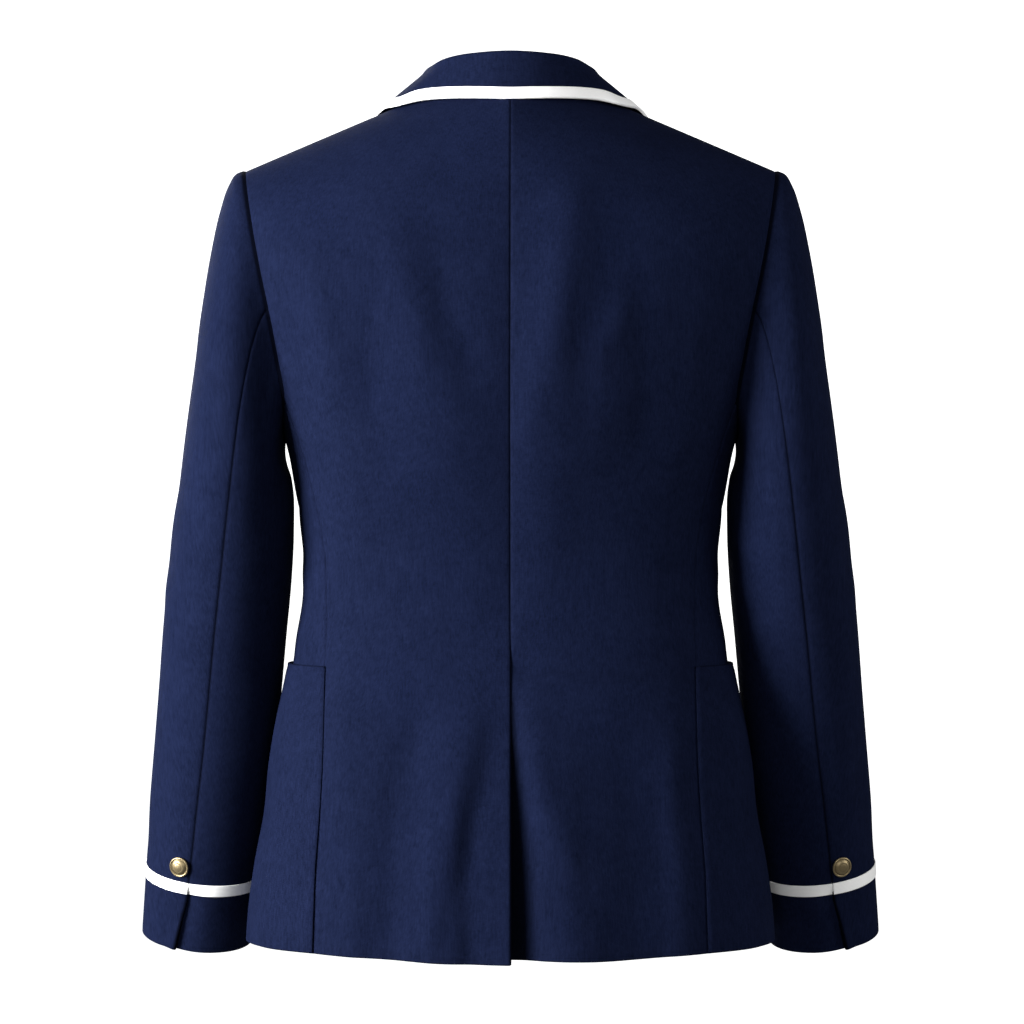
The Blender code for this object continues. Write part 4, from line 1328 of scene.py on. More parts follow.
    def flank_creases(self) -> tuple[Crease, ...]:
        """Soft creases under the arm and at the waist, in y and z."""
        return (
            Crease((0.035, -0.300), (-0.030, -0.345), 0.009, -0.0012, 0.3, 0.4, 0.004),
            Crease((-0.040, -0.365), (0.050, -0.395), 0.010, 0.0010, 0.3, 0.4, -0.003),
            Crease((0.010, -0.480), (0.020, -0.660), 0.015, 0.0012),
        )

    def sew(self, sewing: Sewing) -> None:
        """Makes the half's pieces.

        Args:
            sewing: Makes the pieces.
        """
        self.sew_back(sewing)
        self.sew_flank(sewing)
        self.sew_front(sewing)
        self.sew_pocket(sewing)
        self.sew_lapel(sewing)

    @staticmethod
    def fine(grid: list, turn: int, columns: int) -> Surface:
        """The fine surface of a panel's coarse points, with extra points at its side seams."""
        return Surface(grid, turn).refined(
            finer(len(grid), FINE_ROWS), finer(columns + 1, FINE_COLUMNS, True, True)
        )

    def sew_back(self, sewing: Sewing) -> None:
        """Makes the back: seams pressed in, the vent's edges set, the hem turned.

        Args:
            sewing: Makes the pieces.
        """
        back = self.fine(self.back, -self.side.value, self.back_columns)
        x, z = np.abs(back.points[..., 0]), back.points[..., 2]
        calm = 1 - 0.8 * ease(-z[:, -1:], *self.mouth_levels)
        back = back.raised(crease_heights(self.back_creases(), x, z))
        back = back.seamed(("left",), FINE_SEAM_DEPTH, SEAM_DEPTH)
        back = back.seamed(("right",), SEAM_DEPTH * calm, SEAM_REACH)
        back = back.seamed(("top",), self.shoulder_seam_depth, SEAM_REACH)
        level = -back.points[..., 2]
        # painted shade of the side-back seam, fainter lower down and below the pocket's mouth
        faint = 0.6 * ease(level, *self.faint_levels) + 0.3 * ease(level, *self.mouth_levels)
        aside = np.abs(back.points[..., 0]) > self.seam_aside
        back = back.with_painted_shade(back.painted_shade * (1 - faint * aside))
        if self.side is Side.LEFT:
            reach = ALLOWANCE - self.flap_fold * ease(level[:, 0], *self.flap_levels)
            back = back.with_allowance("left", reach)
        else:
            back = self.with_wedge(back)
        back = back.turned_under("bottom", self.hem_rows)
        word = self.side.word
        sewing.panel("back_panel_" + word, back, "back_" + word, Hold.DRAPED)

    def sew_flank(self, sewing: Sewing) -> None:
        """Makes the side piece, whose two seam allowances lie below its neighbours.

        Args:
            sewing: Makes the pieces.
        """
        flank = self.fine(self.flank, -self.side.value, self.side_columns)
        heights = crease_heights(self.flank_creases(), flank.points[..., 1], flank.points[..., 2])
        edges = flank.from_edges()
        free = ease(np.minimum(edges["left"], edges["right"]), *self.crease_free)
        flank = flank.raised(heights * free).seamed(("left", "right"), SEAM_DEPTH, SEAM_REACH)
        # the side piece's seams keep a share of their painted shade
        flank = flank.with_painted_shade(flank.painted_shade * self.flank_shade)
        flank = flank.with_allowance("left").with_allowance("right").turned_under("bottom", self.hem_rows)
        word = self.side.word
        sewing.panel("side_panel_" + word, flank, "side_" + word, Hold.DRAPED)

    def sew_front(self, sewing: Sewing) -> None:
        """Makes the front, with its edge and its hem turned under.

        Args:
            sewing: Makes the pieces.
        """
        front = self.fine(self.front, self.side.value, self.front_columns)
        heights = crease_heights(self.front_creases(), np.abs(front.points[..., 0]), front.points[..., 2])
        edges = front.from_edges()
        free = ease(edges["right"], *self.crease_free) * ease(edges["left"], *self.edge_free)
        front = front.raised(heights * free).seamed(("right",), SEAM_DEPTH, SEAM_REACH)
        front = front.with_allowance("top").turned_under("left", 5).turned_under("bottom", self.hem_rows)
        word = self.side.word
        sewing.panel("front_panel_" + word, front, "front_" + word, Hold.DRAPED)

    def with_wedge(self, back: Surface) -> Surface:
        """The right back, drawn to the seam above the vent, with a deep fold beside its flap.

        Args:
            back: The fine surface.

        Returns:
            The surface, pressed in and darkened with painted shadow in a wedge that widens to the hem.
        """
        x, z = -back.points[..., 0], back.points[..., 2]
        closed = back.points.copy()
        closed[..., 0] += np.maximum(x[:, :1], 0.0) * (1 - ease(x, 0.0, self.flap_width))
        back = back.copy_with(closed, None, back.painted_shade)
        opening = ease(-z, self.vent_start, self.wedge_end)
        width = self.wedge_top + self.wedge_width * opening
        # painted shadow: darkest beside the flap, as if cast by it, and widening to the hem
        deep = np.exp(-((np.maximum(-closed[..., 0], 0.0) / width) ** 3))
        deep = deep * ease(-z, self.vent_start, self.vent_start + self.wedge_onset)
        return back.raised(-self.wedge_depth * deep * opening).with_painted_shade(np.maximum(back.painted_shade, deep))

    def sew_pocket(self, sewing: Sewing) -> None:
        """Makes the patch pocket on the side piece and the front.

        Args:
            sewing: Makes the pieces.
        """
        joined = []
        for row in range(self.cut.pocket_row, len(self.cut.levels)):
            beyond = self.front[self.cut.upper_rows + row]
            joined.append(list(self.flank[row]) + [beyond[-2 - i] for i in range(self.pocket_columns)])
        columns = finer(self.side_columns + self.pocket_columns + 1, 7, True, True)
        pocket = Surface(joined, -self.side.value).refined(finer(len(joined), FINE_ROWS, True), columns)
        edges = pocket.from_edges()
        rear, fore, mouth = edges["left"], edges["right"], edges["top"]
        hem = self.mouth_stitch * bell(mouth - self.mouth_hem, 0.0012)
        pressed = 0.9 * bell(rear, self.pocket_reach) + bell(fore, self.pocket_reach)
        sag = self.mouth_sag * bell(mouth, 0.030) * ease(rear, 0.01, 0.06)
        sag = sag * ease(fore, 0.01, 0.05)
        pocket = pocket.raised(self.cut.layer - hem - SEAM_DEPTH * pressed + sag)
        pocket = pocket.drawn_in({"left": -PIECE_GAP})
        # painted shade: dark lines along the pocket's rear edge and its mouth, where shade falls
        pocket = pocket.with_painted_shade(np.minimum(0.4 * bell(rear, 0.0009) + 0.7 * bell(mouth, 0.0007), 0.7))
        pocket = pocket.turned_under("top", 6)
        word = self.side.word
        sewing.panel("patch_pocket_" + word, pocket, "pocket_" + word, Hold.DRAPED)

    def lapel_grid(self) -> Surface:
        """The lapel's coarse surface: it wraps the roll line and lies on the front."""
        cut = self.cut
        first, last = cut.gorge_row, cut.upper_rows + cut.break_row
        start_level, end_level = self.front[first][0].z, self.front[last][0].z
        grid = []
        for row in range(first, last + 1):
            share = (start_level - self.front[row][0].z) / (start_level - end_level)
            roll = self.lapel_roll * (1 - float(ease(share, *self.roll_flattens)))
            width = (self.lapel_width - self.lapel_tip) * max(1 - share, 0.0) ** self.lapel_curve
            width = self.lapel_tip + width
            parts = (0.0, 0.10, 0.22, 0.40, 0.62, 1.0)
            grid.append(self.turned_back(row, roll, [width * part for part in parts]))
        return Surface(grid, self.side.value)

    def turned_back(self, row: int, roll: float, distances: list[float]) -> list[Vector]:
        """Points of the turned-back cloth on one row of the front, from its edge outwards.

        Args:
            row: The front's row.
            roll: How far the roll stands off.
            distances: Distances from the roll line.

        Returns:
            The points.
        """
        line = self.front[row]
        outs = [Vector(out) for out in Surface(self.front, self.side.value).normals()[row]]
        edge = (line[0] - line[1]).normalized()
        rise = self.roll_rise + 0.4 * roll
        turn = line[0] + edge * self.roll_reach + outs[0] * rise
        points = [line[0] + edge * self.roll_start, turn]
        for distance in distances:
            point, out = along_line(line, outs, distance)
            puff = roll * math.exp(-((distance / self.roll_width) ** 2))
            points.append(point + out * (self.cut.layer + puff))
        return points

    def sew_lapel(self, sewing: Sewing) -> None:
        """Makes the lapel and the ribbon on its edge.

        Args:
            sewing: Makes the pieces.
        """
        word = self.side.word
        coarse = self.lapel_grid()
        rows, columns = coarse.points.shape[:2]
        steps = self.lapel_steps
        lapel = coarse.refined(finer(rows, steps), finer(columns, steps)).drawn_in({"top": PIECE_GAP})
        top = lapel.points[0]
        notch = round((columns - 2) * steps * self.notch_share)
        gorge = bell(lapel.from_edges()["top"], self.gorge_reach) * (np.arange(len(top)) < notch)
        # painted shade along the gorge seam
        sewn = lapel.raised(-self.gorge_depth * gorge).with_painted_shade(0.8 * gorge)
        sewing.panel("lapel_roll_" + word, sewn, "lapel_" + word, Hold.FOLDED)
        run = np.concatenate([top[notch:-1], lapel.points[:-7, -1]])
        heart = lapel.points[len(lapel.points) // 4, 30]
        strip = edge_strip(lapel, run, [len(top) - 1 - notch], heart, self.ribbon_wrap)
        sewing.trim("lapel_trim_" + word, Surface(strip, self.side.value), "lapel_ribbon_" + word)


def edge_strip(cloth: Surface, run: np.ndarray, corners: list[int], heart: np.ndarray, wrap: float) -> list:
    """A ribbon along the cloth's edge, seated on it, with a mitre at each corner.

    Args:
        cloth: The surface below it.
        run: Points of the edge, in order.
        corners: Indices of the run's corners.
        heart: A point well inside the piece.
        wrap: How far the ribbon is folded round the edge, in metres.

    Returns:
        Rows of points, from the inner selvedge to the outer one.
    """
    width = RIBBON_WIDTH * RIBBON_SHARE
    tree = cloth.tree()
    spots = [tree.find_nearest(Vector(point)) for point in run]
    kept = [i for i in range(len(run)) if i in corners or all(
        np.linalg.norm(run[i] - run[corner]) > width * 1.6 for corner in corners)]
    strip = []
    for place, index in enumerate(kept):
        point = Vector(run[index])
        out = spots[index][1]
        if out.dot(cloth_out(cloth, point)) < 0:
            out = -out
        sides = []
        for other in (kept[max(place - 1, 0)], kept[min(place + 1, len(kept) - 1)]):
            if other == index:
                continue
            way = out.cross(Vector(run[other]) - point).normalized()
            sides.append(way if way.dot(Vector(heart) - point) > 0 else -way)
        middle = sum(sides, Vector()).normalized()
        reach = width / max(middle.dot(sides[0]), 0.5)
        line = []
        for part in (1.0, 0.96, 0.72, 0.48, 0.24, 0.04, 0.0):
            spot, normal, _, _ = tree.find_nearest(point + middle * reach * part)
            normal = normal if normal.dot(out) > 0 else -normal
            line.append(spot + normal * (RIBBON_REST - (SELVEDGE_DROP if part == 1.0 else 0.0)))
        turned = line[-1] - middle * RIBBON_BEND
        line.extend(turned - out * (wrap * part) for part in (0.15, 0.45, 0.75, 1.0))
        strip.append(line)
    return strip


def cloth_out(cloth: Surface, point: Vector) -> Vector:
    """The cloth's outward normal at its point that is nearest to a place."""
    away = np.linalg.norm(cloth.points - np.array(point), axis=2)
    return Vector(cloth.normals()[np.unravel_index(int(away.argmin()), away.shape)])


def along_line(line: list, outs: list, distance: float) -> tuple[Vector, Vector]:
    """Point and normal at a distance along a row of points.

    Args:
        line: The points.
        outs: Their normals.
        distance: How far along, in metres.

    Returns:
        The point and its normal.
    """
    left = distance
    for index in range(len(line) - 1):
        step = (line[index + 1] - line[index]).length
        if left <= step or index == len(line) - 2:
            share = left / step
            out = outs[index].lerp(outs[index + 1], clamp(share)).normalized()
            return line[index].lerp(line[index + 1], share), out
        left -= step
    return line[-1], outs[-1]


@dataclass
class Sleeve:
    """A two-piece sleeve with its ribbon, vent and button."""

    cut: Cut
    torso: Torso
    hindarm: int = 7
    forearm: int = 8
    ribbon_rows: tuple = (15, 16)
    button_radius: float = 0.0087
    # level, middle x, middle y, half width, half depth, turn in degrees
    rings: tuple = (
        (-0.305, 0.2285, -0.006, 0.0460, 0.0710, 3.0),
        (-0.345, 0.2308, -0.010, 0.0495, 0.0675, 6.0),
        (-0.385, 0.2340, -0.015, 0.0505, 0.0625, 8.0),
        (-0.430, 0.2388, -0.022, 0.0507, 0.0580, 9.0),
        (-0.475, 0.2430, -0.030, 0.0505, 0.054, 10.0),
        (-0.520, 0.2474, -0.038, 0.0500, 0.051, 11.0),
        (-0.570, 0.2530, -0.048, 0.0490, 0.048, 12.5),
        (-0.610, 0.2575, -0.057, 0.0480, 0.046, 13.5),
        (-0.6315, 0.2602, -0.0623, 0.0475, 0.0450, 14.0),
        (-0.6410, 0.2612, -0.0646, 0.0473, 0.0447, 14.2),
        (-0.6650, 0.2640, -0.0705, 0.0466, 0.0438, 14.6),
        (-0.6900, 0.2668, -0.0765, 0.0460, 0.0430, 15.0),
    )
    cap_steps: tuple = (0.0, 0.08, 0.18, 0.30, 0.44, 0.60, 0.79)
    # the cap's curve: how far it starts outwards, backwards and downwards, and how far
    # it comes down to the first ring, each as a middle and what the angle adds
    cap_out: tuple = (0.013, 0.009)
    cap_behind: float = 0.005
    armhole_clear: float = 0.0012
    cap_down: tuple = (-0.014, 0.016)
    cap_run: tuple = (0.066, 0.054)
    # the cuff's vent: how far its edge is drawn back, in columns, how far it stands off,
    # and how clear the under sleeve stays below it
    vent_opening: float = 0.62
    vent_lift: float = 0.0034
    vent_clear: float = 0.0008
    vent_fold: float = 0.006
    # distances from a seam between which creases come in
    crease_free: tuple = (0.001, 0.012)
    # how far the tucked edge of the cap goes down the body and below its cloth
    tuck_along: float = 0.006
    tuck_below: float = 0.0030
    # levels below the origin where the creases end, and where the vent begins
    crease_levels: tuple = (0.600, 0.622)
    vent_levels: tuple = (0.655, 0.670)
    button_along: float = 0.42
    button_across: float = 0.7

    def angles(self) -> list[float]:
        """Angle of each column: 0 at the shoulder, 90 behind, 180 underneath."""
        cut = self.cut
        middle = (cut.armhole_top + cut.underarm) / 2
        radius = (cut.armhole_top - cut.underarm) / 2
        behind = []
        for _, level in cut.armhole_line(1):
            behind.append(math.degrees(math.acos(clamp((level - middle) / radius, -1.0, 1.0))))
        under = [behind[-1] + (360 - 2 * behind[-1]) * i / 4 for i in range(1, 4)]
        return behind + under + [360 - angle for angle in reversed(behind)][:-1]

    def ring(self, index: int) -> list[Vector]:
        """Points round the sleeve at one row of its table, square to its run.

        Args:
            index: The row.

        Returns:
            The points.
        """
        rows = self.rings
        _, x, y, half_x, half_y, turn = rows[index]
        before, after = rows[max(index - 1, 0)], rows[min(index + 1, len(rows) - 1)]
        run = Vector((after[1] - before[1], after[2] - before[2], after[0] - before[0])).normalized()
        across = (Vector((1, 0, 0)) - run * run.x).normalized()
        ahead = run.cross(across).normalized()
        ahead = ahead if ahead.y > 0 else -ahead
        middle = Vector((x, y, rows[index][0]))
        ring = []
        for angle in self.angles():
            turned = math.radians(angle - turn)
            point = middle + across * half_x * math.cos(turned) + ahead * half_y * math.sin(turned)
            ring.append(Vector((self.torso.side.value * point.x, point.y, point.z)))
        return ring

    def rows(self) -> list[list[Vector]]:
        """Rows of points from the armhole to the cuff."""
        side, torso, cut = self.torso.side.value, self.torso, self.cut
        hole = [torso.back[row][-1] for row in range(cut.upper_rows + 1)]
        hole += [torso.flank[0][column] for column in range(1, torso.side_columns)]
        hole += [torso.front[row][-1] for row in range(cut.upper_rows, 0, -1)]
        ring, following = self.ring(0), self.ring(1)
        rows = []
        for share in self.cap_steps:
            line = []
            for start, end, beyond, angle in zip(hole, ring, following, self.angles()):
                cosine, sine = math.cos(math.radians(angle)), math.sin(math.radians(angle))
                pairs = (self.cap_out, self.cap_down, self.cap_run)
                out, down, run = (middle + more * cosine for middle, more in pairs)
                under = (1 - cosine) / 2
                sideways = side * (1 + under) * self.armhole_clear
                upward = self.armhole_clear / 2 * cosine
                begin = start + Vector((sideways, 0.0, upward))
                first = begin + Vector((side * out, self.cap_behind * sine, down))
                second = end - (beyond - end).normalized() * run
                rest = 1 - share
                line.append(begin * rest**3 + first * 3 * rest**2 * share
                            + second * 3 * rest * share**2 + end * share**3)
            rows.append(line)
        return rows + [self.ring(index) for index in range(len(self.rings))]

    def vent(self, top: np.ndarray, under: np.ndarray, first: int) -> None:
        """Opens the cuff's vent: the top sleeve stands off and the under sleeve goes below it.

        Args:
            top: The top sleeve's coarse points, changed in place.
            under: The under sleeve's, changed in place.
            first: The first row of the vent.
        """
        last = len(top) - 1
        half = top.shape[1] // 2
        middle = (top[first - 1, 0] + top[first - 1, half]) / 2
        out = top[first - 1, -1] - middle
        under[first - 1, 0] -= out / np.linalg.norm(out) * self.cut.layer
        for row in range(first, last + 1):
            share = (row - first + 1) / (last - first + 1)
            edge, inner = top[row, -1].copy(), top[row, -2].copy()
            middle = (top[row, 0] + top[row, half]) / 2
            out = (edge - middle) / np.linalg.norm(edge - middle)
            step = inner - edge
            lift = self.vent_lift * (0.3 + 0.7 * share)
            top[row, -1] = edge + step * self.vent_opening * share + out * lift
            top[row, -2] = inner + (top[row, -3] - inner) * 0.3 * share
            below = self.cut.layer + self.vent_clear
            under[row, 0] = edge + step * (0.35 + 0.55 * share) - out * below

    def sew(self, sewing: Sewing) -> None:
        """Makes the sleeve's pieces.

        Args:
            sewing: Makes the pieces.
        """
        side, word = self.torso.side.value, self.torso.side.word
        rows = self.rows()
        fore = len(rows[0]) - self.forearm
        top = Surface([line[fore:] + line[:self.hindarm + 1] for line in rows], side)
        under = Surface([line[self.hindarm:fore + 1] for line in rows], side)
        self.vent(top.points, under.points, len(rows) - 2)
        tuck = self.tucked_edge()
        tucks = {"upper": tuck[fore:] + tuck[:self.hindarm + 1], "lower": tuck[self.hindarm:fore + 1]}
        down = finer(len(rows), 6)
        for name, node, coarse in (("upper", "sleeve_top_", top), ("lower", "sleeve_under_", under)):
            columns = finer(coarse.points.shape[1], 6, True, True)
            panel = coarse.refined(down, columns)
            heights = crease_heights(self.creases(name), panel.across(), panel.points[..., 2])
            edges = panel.from_edges()
            free = ease(np.minimum(edges["left"], edges["right"]), *self.crease_free)
            free = free * (1 - ease(-panel.points[..., 2], *self.crease_levels))
            panel = panel.raised(heights * free).seamed(("left", "right"), FINE_SEAM_DEPTH, SEAM_REACH)
            low = Surface([tucks[name]] * 2, side).refined(np.array([0.0]), columns).points
            # painted shade round the armhole seam at the sleeve's top
            painted_shade = np.maximum(panel.painted_shade, bell(edges["top"], 0.002))
            painted_shade = np.concatenate([painted_shade[:1], painted_shade])
            panel = panel.copy_with(np.concatenate([low, panel.points]), None, painted_shade)
            vented = ease(-panel.points[:, 0, 2], *self.vent_levels)
            if name == "upper":
                panel = panel.with_allowance("right", -LEAST_ALLOWANCE - self.vent_fold * vented)
            else:
                panel = panel.with_allowance("left", ALLOWANCE * (1 - vented) + LEAST_ALLOWANCE)
                panel = panel.with_allowance("right")
            panel = panel.turned_under("bottom", 5)
            sewing.panel(f"{name}_sleeve_{word}", panel, node + word, Hold.HUNG)
            self.sew_ribbon(sewing, name, coarse, columns)
        self.sew_button(sewing, top)

    def tucked_edge(self) -> list[Vector]:
        """Points of the seam allowance inside the armhole, in the order of the sleeve's columns."""
        torso, cut = self.torso, self.cut
        side = torso.side.value
        back, flank, front = torso.back, torso.flank, torso.front
        back_out, flank_out = Surface(back, -side).normals(), Surface(flank, -side).normals()
        front_out = Surface(front, side).normals()
        upper = range(cut.upper_rows + 1)
        spots = [(back[row][-1], back[row][-2], back_out[row, -1]) for row in upper]
        spots += [(flank[0][i], flank[1][i], flank_out[0, i]) for i in range(1, torso.side_columns)]
        spots += [(front[row][-1], front[row][-2], front_out[row, -1]) for row in upper[:0:-1]]
        edge = []
        for at, inner, out in spots:
            edge.append(at + (inner - at).normalized() * self.tuck_along - Vector(out) * self.tuck_below)
        return edge

    def creases(self, name: str) -> tuple[Crease, ...]:
        """Creases of one sleeve panel, in distance across from its first seam and z.

        Args:
            name: "upper" or "lower".

        Returns:
            The creases.
        """
        if name == "lower":
            return (
                Crease((0.010, -0.400), (0.075, -0.430), 0.008, -0.0012, 0.3, 0.4, 0.004),
                Crease((0.070, -0.345), (0.020, -0.372), 0.009, 0.0012, 0.3, 0.4, 0.003),
                Crease((0.040, -0.450), (0.044, -0.560), 0.014, 0.0010),
            )
        near = 1.0 if self.torso.side is Side.LEFT else 0.8
        return (
            Crease((0.004, -0.378), (0.075, -0.362), 0.008, -0.0017 * near, 0.15, 0.5, 0.004),
            Crease((0.006, -0.402), (0.090, -0.408), 0.009, -0.0020, 0.15, 0.5, -0.004),
            Crease((0.006, -0.430), (0.070, -0.448), 0.008, -0.0014 * near, 0.2, 0.5, -0.003),
            Crease((0.095, -0.120), (0.090, -0.300), 0.017, 0.0016 * near),
            Crease((0.150, -0.190), (0.118, -0.330), 0.013, -0.0014),
            Crease((0.120, -0.380), (0.155, -0.450), 0.012, 0.0014 * near, 0.3, 0.4, 0.004),
            Crease((0.090, -0.480), (0.100, -0.600), 0.016, 0.0012),
            Crease((0.140, -0.520), (0.128, -0.610), 0.012, -0.0010),
        )

    def sew_ribbon(self, sewing: Sewing, name: str, coarse: Surface, columns: np.ndarray) -> None:
        """Makes the ribbon round one sleeve panel."""
        word = self.torso.side.word
        first, last = self.ribbon_rows
        band = coarse.refined(np.linspace(first, last, 6), columns)
        band = band.raised(np.full(band.points.shape[:2], RIBBON_REST))
        band = band.drawn_in({"left": PIECE_GAP, "right": PIECE_GAP})
        node = "cuff_ribbon_top_" if name == "upper" else "cuff_ribbon_under_"
        sewing.trim(f"cuff_trim_{name}_{word}", band, node + word)

    def sew_button(self, sewing: Sewing, top: Surface) -> None:
        """Makes the cuff button, on the top sleeve just above the ribbon."""
        row = self.ribbon_rows[0] - 1
        points, outs = top.points[row:row + 2], top.normals()[row:row + 2]
        lines = points[:, -1] * (1 - self.button_across) + points[:, -2] * self.button_across
        out = Vector(outs[0, -1] + outs[0, -2] + outs[1, -1] + outs[1, -2]).normalized()
        middle = lines[0] * (1 - self.button_along) + lines[1] * self.button_along
        place = Vector(middle) + out * BUTTON_REST
        Button(self.button_radius).make(sewing, "cuff_button_" + self.torso.side.word, place, out)


@dataclass
class Collar:
    """Stand, roll and fall of the collar, and the ribbon on its edge."""

    cut: Cut
    torso: Torso
    clear: float = 0.0048
    roll_radius: float = 0.0022
    foot_clear: float = 0.0021
    foot_allowance: float = 0.005
    # how much lower the edge behind hangs than its table says
    edge_drop: float = 0.006
    # distance over which the body's slope is felt
    probe: float = 0.002
    ribbon_wrap: float = 0.0022
    steps: int = 6
    # neck x, apex x, apex y, apex z, edge x, edge z
    behind: tuple = (
        (0.000, 0.0000, 0.0575, 0.0438, 0.000, 0.0088),
        (0.014, 0.0135, 0.0560, 0.0437, 0.018, 0.0092),
        (0.028, 0.0265, 0.0520, 0.0431, 0.036, 0.0098),
        (0.042, 0.0390, 0.0450, 0.0422, 0.054, 0.0102),
        (0.056, 0.0510, 0.0345, 0.0402, 0.072, 0.0096),
        (0.067, 0.0600, 0.0190, 0.0370, 0.090, 0.0064),
    )
    # share of the gorge, height, lean, edge x, edge z
    ahead: tuple = (
        (0.000, 0.0210, 0.00, 0.1060, -0.0010),
        (0.150, 0.0190, 0.15, 0.1110, -0.0050),
        (0.350, 0.0160, 0.40, 0.1150, -0.0100),
        (0.570, 0.0125, 0.70, 0.1190, -0.0155),
        (0.780, 0.0100, 0.90, 0.1215, -0.0205),
        (0.970, 0.0082, 1.00, 0.1235, -0.0255),
    )

    def over(self, front: bool, x: float, z: float, distance: float) -> Vector:
        """A point over the left half of the body, at a distance out from the cloth."""
        depth_at = self.cut.front_depth if front else self.cut.back_depth
        sign = -1 if front else 1
        step = self.probe
        here = depth_at(Side.LEFT, x, z)
        across = Vector((step, depth_at(Side.LEFT, x + step, z) - here, 0.0))
        down = Vector((0.0, depth_at(Side.LEFT, x, z - step) - here, -step))
        return Vector((x, here, z)) + sign * across.cross(down).normalized() * distance

    def kept_off(self, point: Vector, front: bool) -> Vector:
        """The point, moved out where it would come too near the shoulder below it."""
        for _ in range(2):
            if point.z > self.cut.ridge_level(point.x) - self.probe:
                return point
            base = self.over(front, point.x, point.z, 0.0)
            out = self.over(front, point.x, point.z, 1.0) - base
            point = point + out * max(self.clear - (point - base).dot(out), 0.0)
        return point

    def section(self, foot: Vector, apex: Vector, edge: Vector, front: bool) -> list[Vector]:
        """A folded line from the neck seam over the roll to the outer edge.

        Args:
            foot: Where it is sewn to the body.
            apex: Top of the roll.
            edge: Outer edge of the fall.
            front: Whether it lies over the front.

        Returns:
            The points.
        """
        rise = (apex - foot).normalized()
        out = edge - apex
        start = foot + rise * self.foot_clear
        across = (out - rise * out.dot(rise)).normalized()
        top_in = apex - rise * self.roll_radius
        top_out = top_in + across * 2 * self.roll_radius
        points = [start, start.lerp(top_in, 0.35), start.lerp(top_in, 0.70), top_in]
        points.append(apex + across * 0.3 * self.roll_radius)
        points.append(apex + across * 1.7 * self.roll_radius - rise * 0.1 * self.roll_radius)
        fall = edge - top_out
        points.append(self.kept_off(top_out + fall * 0.12, front))
        ribbon_share = 1 - RIBBON_WIDTH / fall.length
        upper = 0.40
        for share in (upper, upper + (ribbon_share - upper) * 0.55, ribbon_share):
            points.append(self.kept_off(top_out + fall * share, front))
        return points + [edge]

    def half(self) -> list[list[Vector]]:
        """Sections of the left half, from the centre back to the front end."""
        cut = self.cut
        sections = []
        for neck_x, apex_x, apex_y, apex_z, edge_x, edge_z in self.behind:
            level = cut.neck_level(neck_x)
            foot = Vector((neck_x, cut.back_depth(Side.LEFT, neck_x, level), level))
            edge = self.over(False, edge_x, edge_z - self.edge_drop, self.clear)
            sections.append(self.section(foot, Vector((apex_x, apex_y, apex_z)), edge, False))
        start_level = cut.ridge_level(cut.neck_half)
        lean_in = Vector((-0.32, 0.05, 0.95)).normalized()
        for share, height, lean, edge_x, edge_z in self.ahead:
            level = start_level + (cut.gorge_level - start_level) * share
            x = self.torso.front_edge_x(level)
            foot = Vector((x, cut.front_depth(Side.LEFT, x, level), level))
            below = level - 2 * self.probe
            out = self.over(True, x, below, 1.0) - self.over(True, x, below, 0.0)
            rise = lean_in.lerp(out.normalized(), lean).normalized()
            edge = self.over(True, edge_x, min(edge_z, cut.ridge_level(edge_x) - 0.0005), self.clear)
            sections.append(self.section(foot, foot + rise * height, edge, True))
        sections[-1] = self.notched_end(sections[-1][-1])
        return sections

    def notched_end(self, tip: Vector) -> list[Vector]:
        """The front end: along the gorge seam to the notch, then out to its tip."""
        width = self.torso.lapel_width
        distances = [width * part for part in (0.0, 0.05, 0.10, 0.22, 0.42)]
        start, turn, *seam = self.torso.turned_back(self.cut.gorge_row, self.torso.lapel_roll, distances)
        points = [start, start.lerp(turn, 0.5), turn, turn.lerp(seam[0], 0.5)] + seam
        return points + [tip + (seam[-1] - tip).normalized() * RIBBON_WIDTH, tip]

    @staticmethod
    def calmed(collar: Surface, reach: float = 0.035, rounds: int = 160) -> Surface:
        """The collar with its fall's bend evened out round the centre back.

        Args:
            collar: The fine surface.
            reach: How far from the centre it works, in metres.
            rounds: How often each point moves towards its neighbours' middle.

        Returns:
            The evened surface.
        """
        points = collar.points.copy()
        pull = 0.5 * bell(points[1:-1, :, 0], reach) * ease(np.arange(points.shape[1]), 18, 34)
        for _ in range(rounds):
            depths = points[..., 1]
            depths[1:-1] += ((depths[:-2] + depths[2:]) / 2 - depths[1:-1]) * pull
        return collar.copy_with(points)

    def sew(self, sewing: Sewing) -> None:
        """Makes the collar and its ribbon.

        Args:
            sewing: Makes the pieces.
        """
        half = self.half()
        other = [[Vector((-p.x, p.y, p.z)) for p in section] for section in reversed(half[1:])]
        coarse = Surface(other + half, 1)
        rows, columns = coarse.points.shape[:2]
        collar = self.calmed(coarse.refined(finer(rows, FINE_COLUMNS), finer(columns, self.steps)))
        sewn = collar.with_allowance("left", self.foot_allowance, -self.foot_clear)
        sewing.panel("collar_fold", sewn, "collar", Hold.FOLDED)
        points = collar.points
        notch = (columns - 3) * self.steps + 2
        run = np.concatenate([points[0, notch:-1], points[:, -1], points[-1, -2:notch - 1:-1]])
        end = points.shape[1] - notch
        corners = [end - 1, len(run) - end]
        strip = edge_strip(collar, run, corners, points[len(points) // 2, 36], self.ribbon_wrap)
        sewing.trim("collar_trim", Surface(strip, 1), "collar_ribbon")


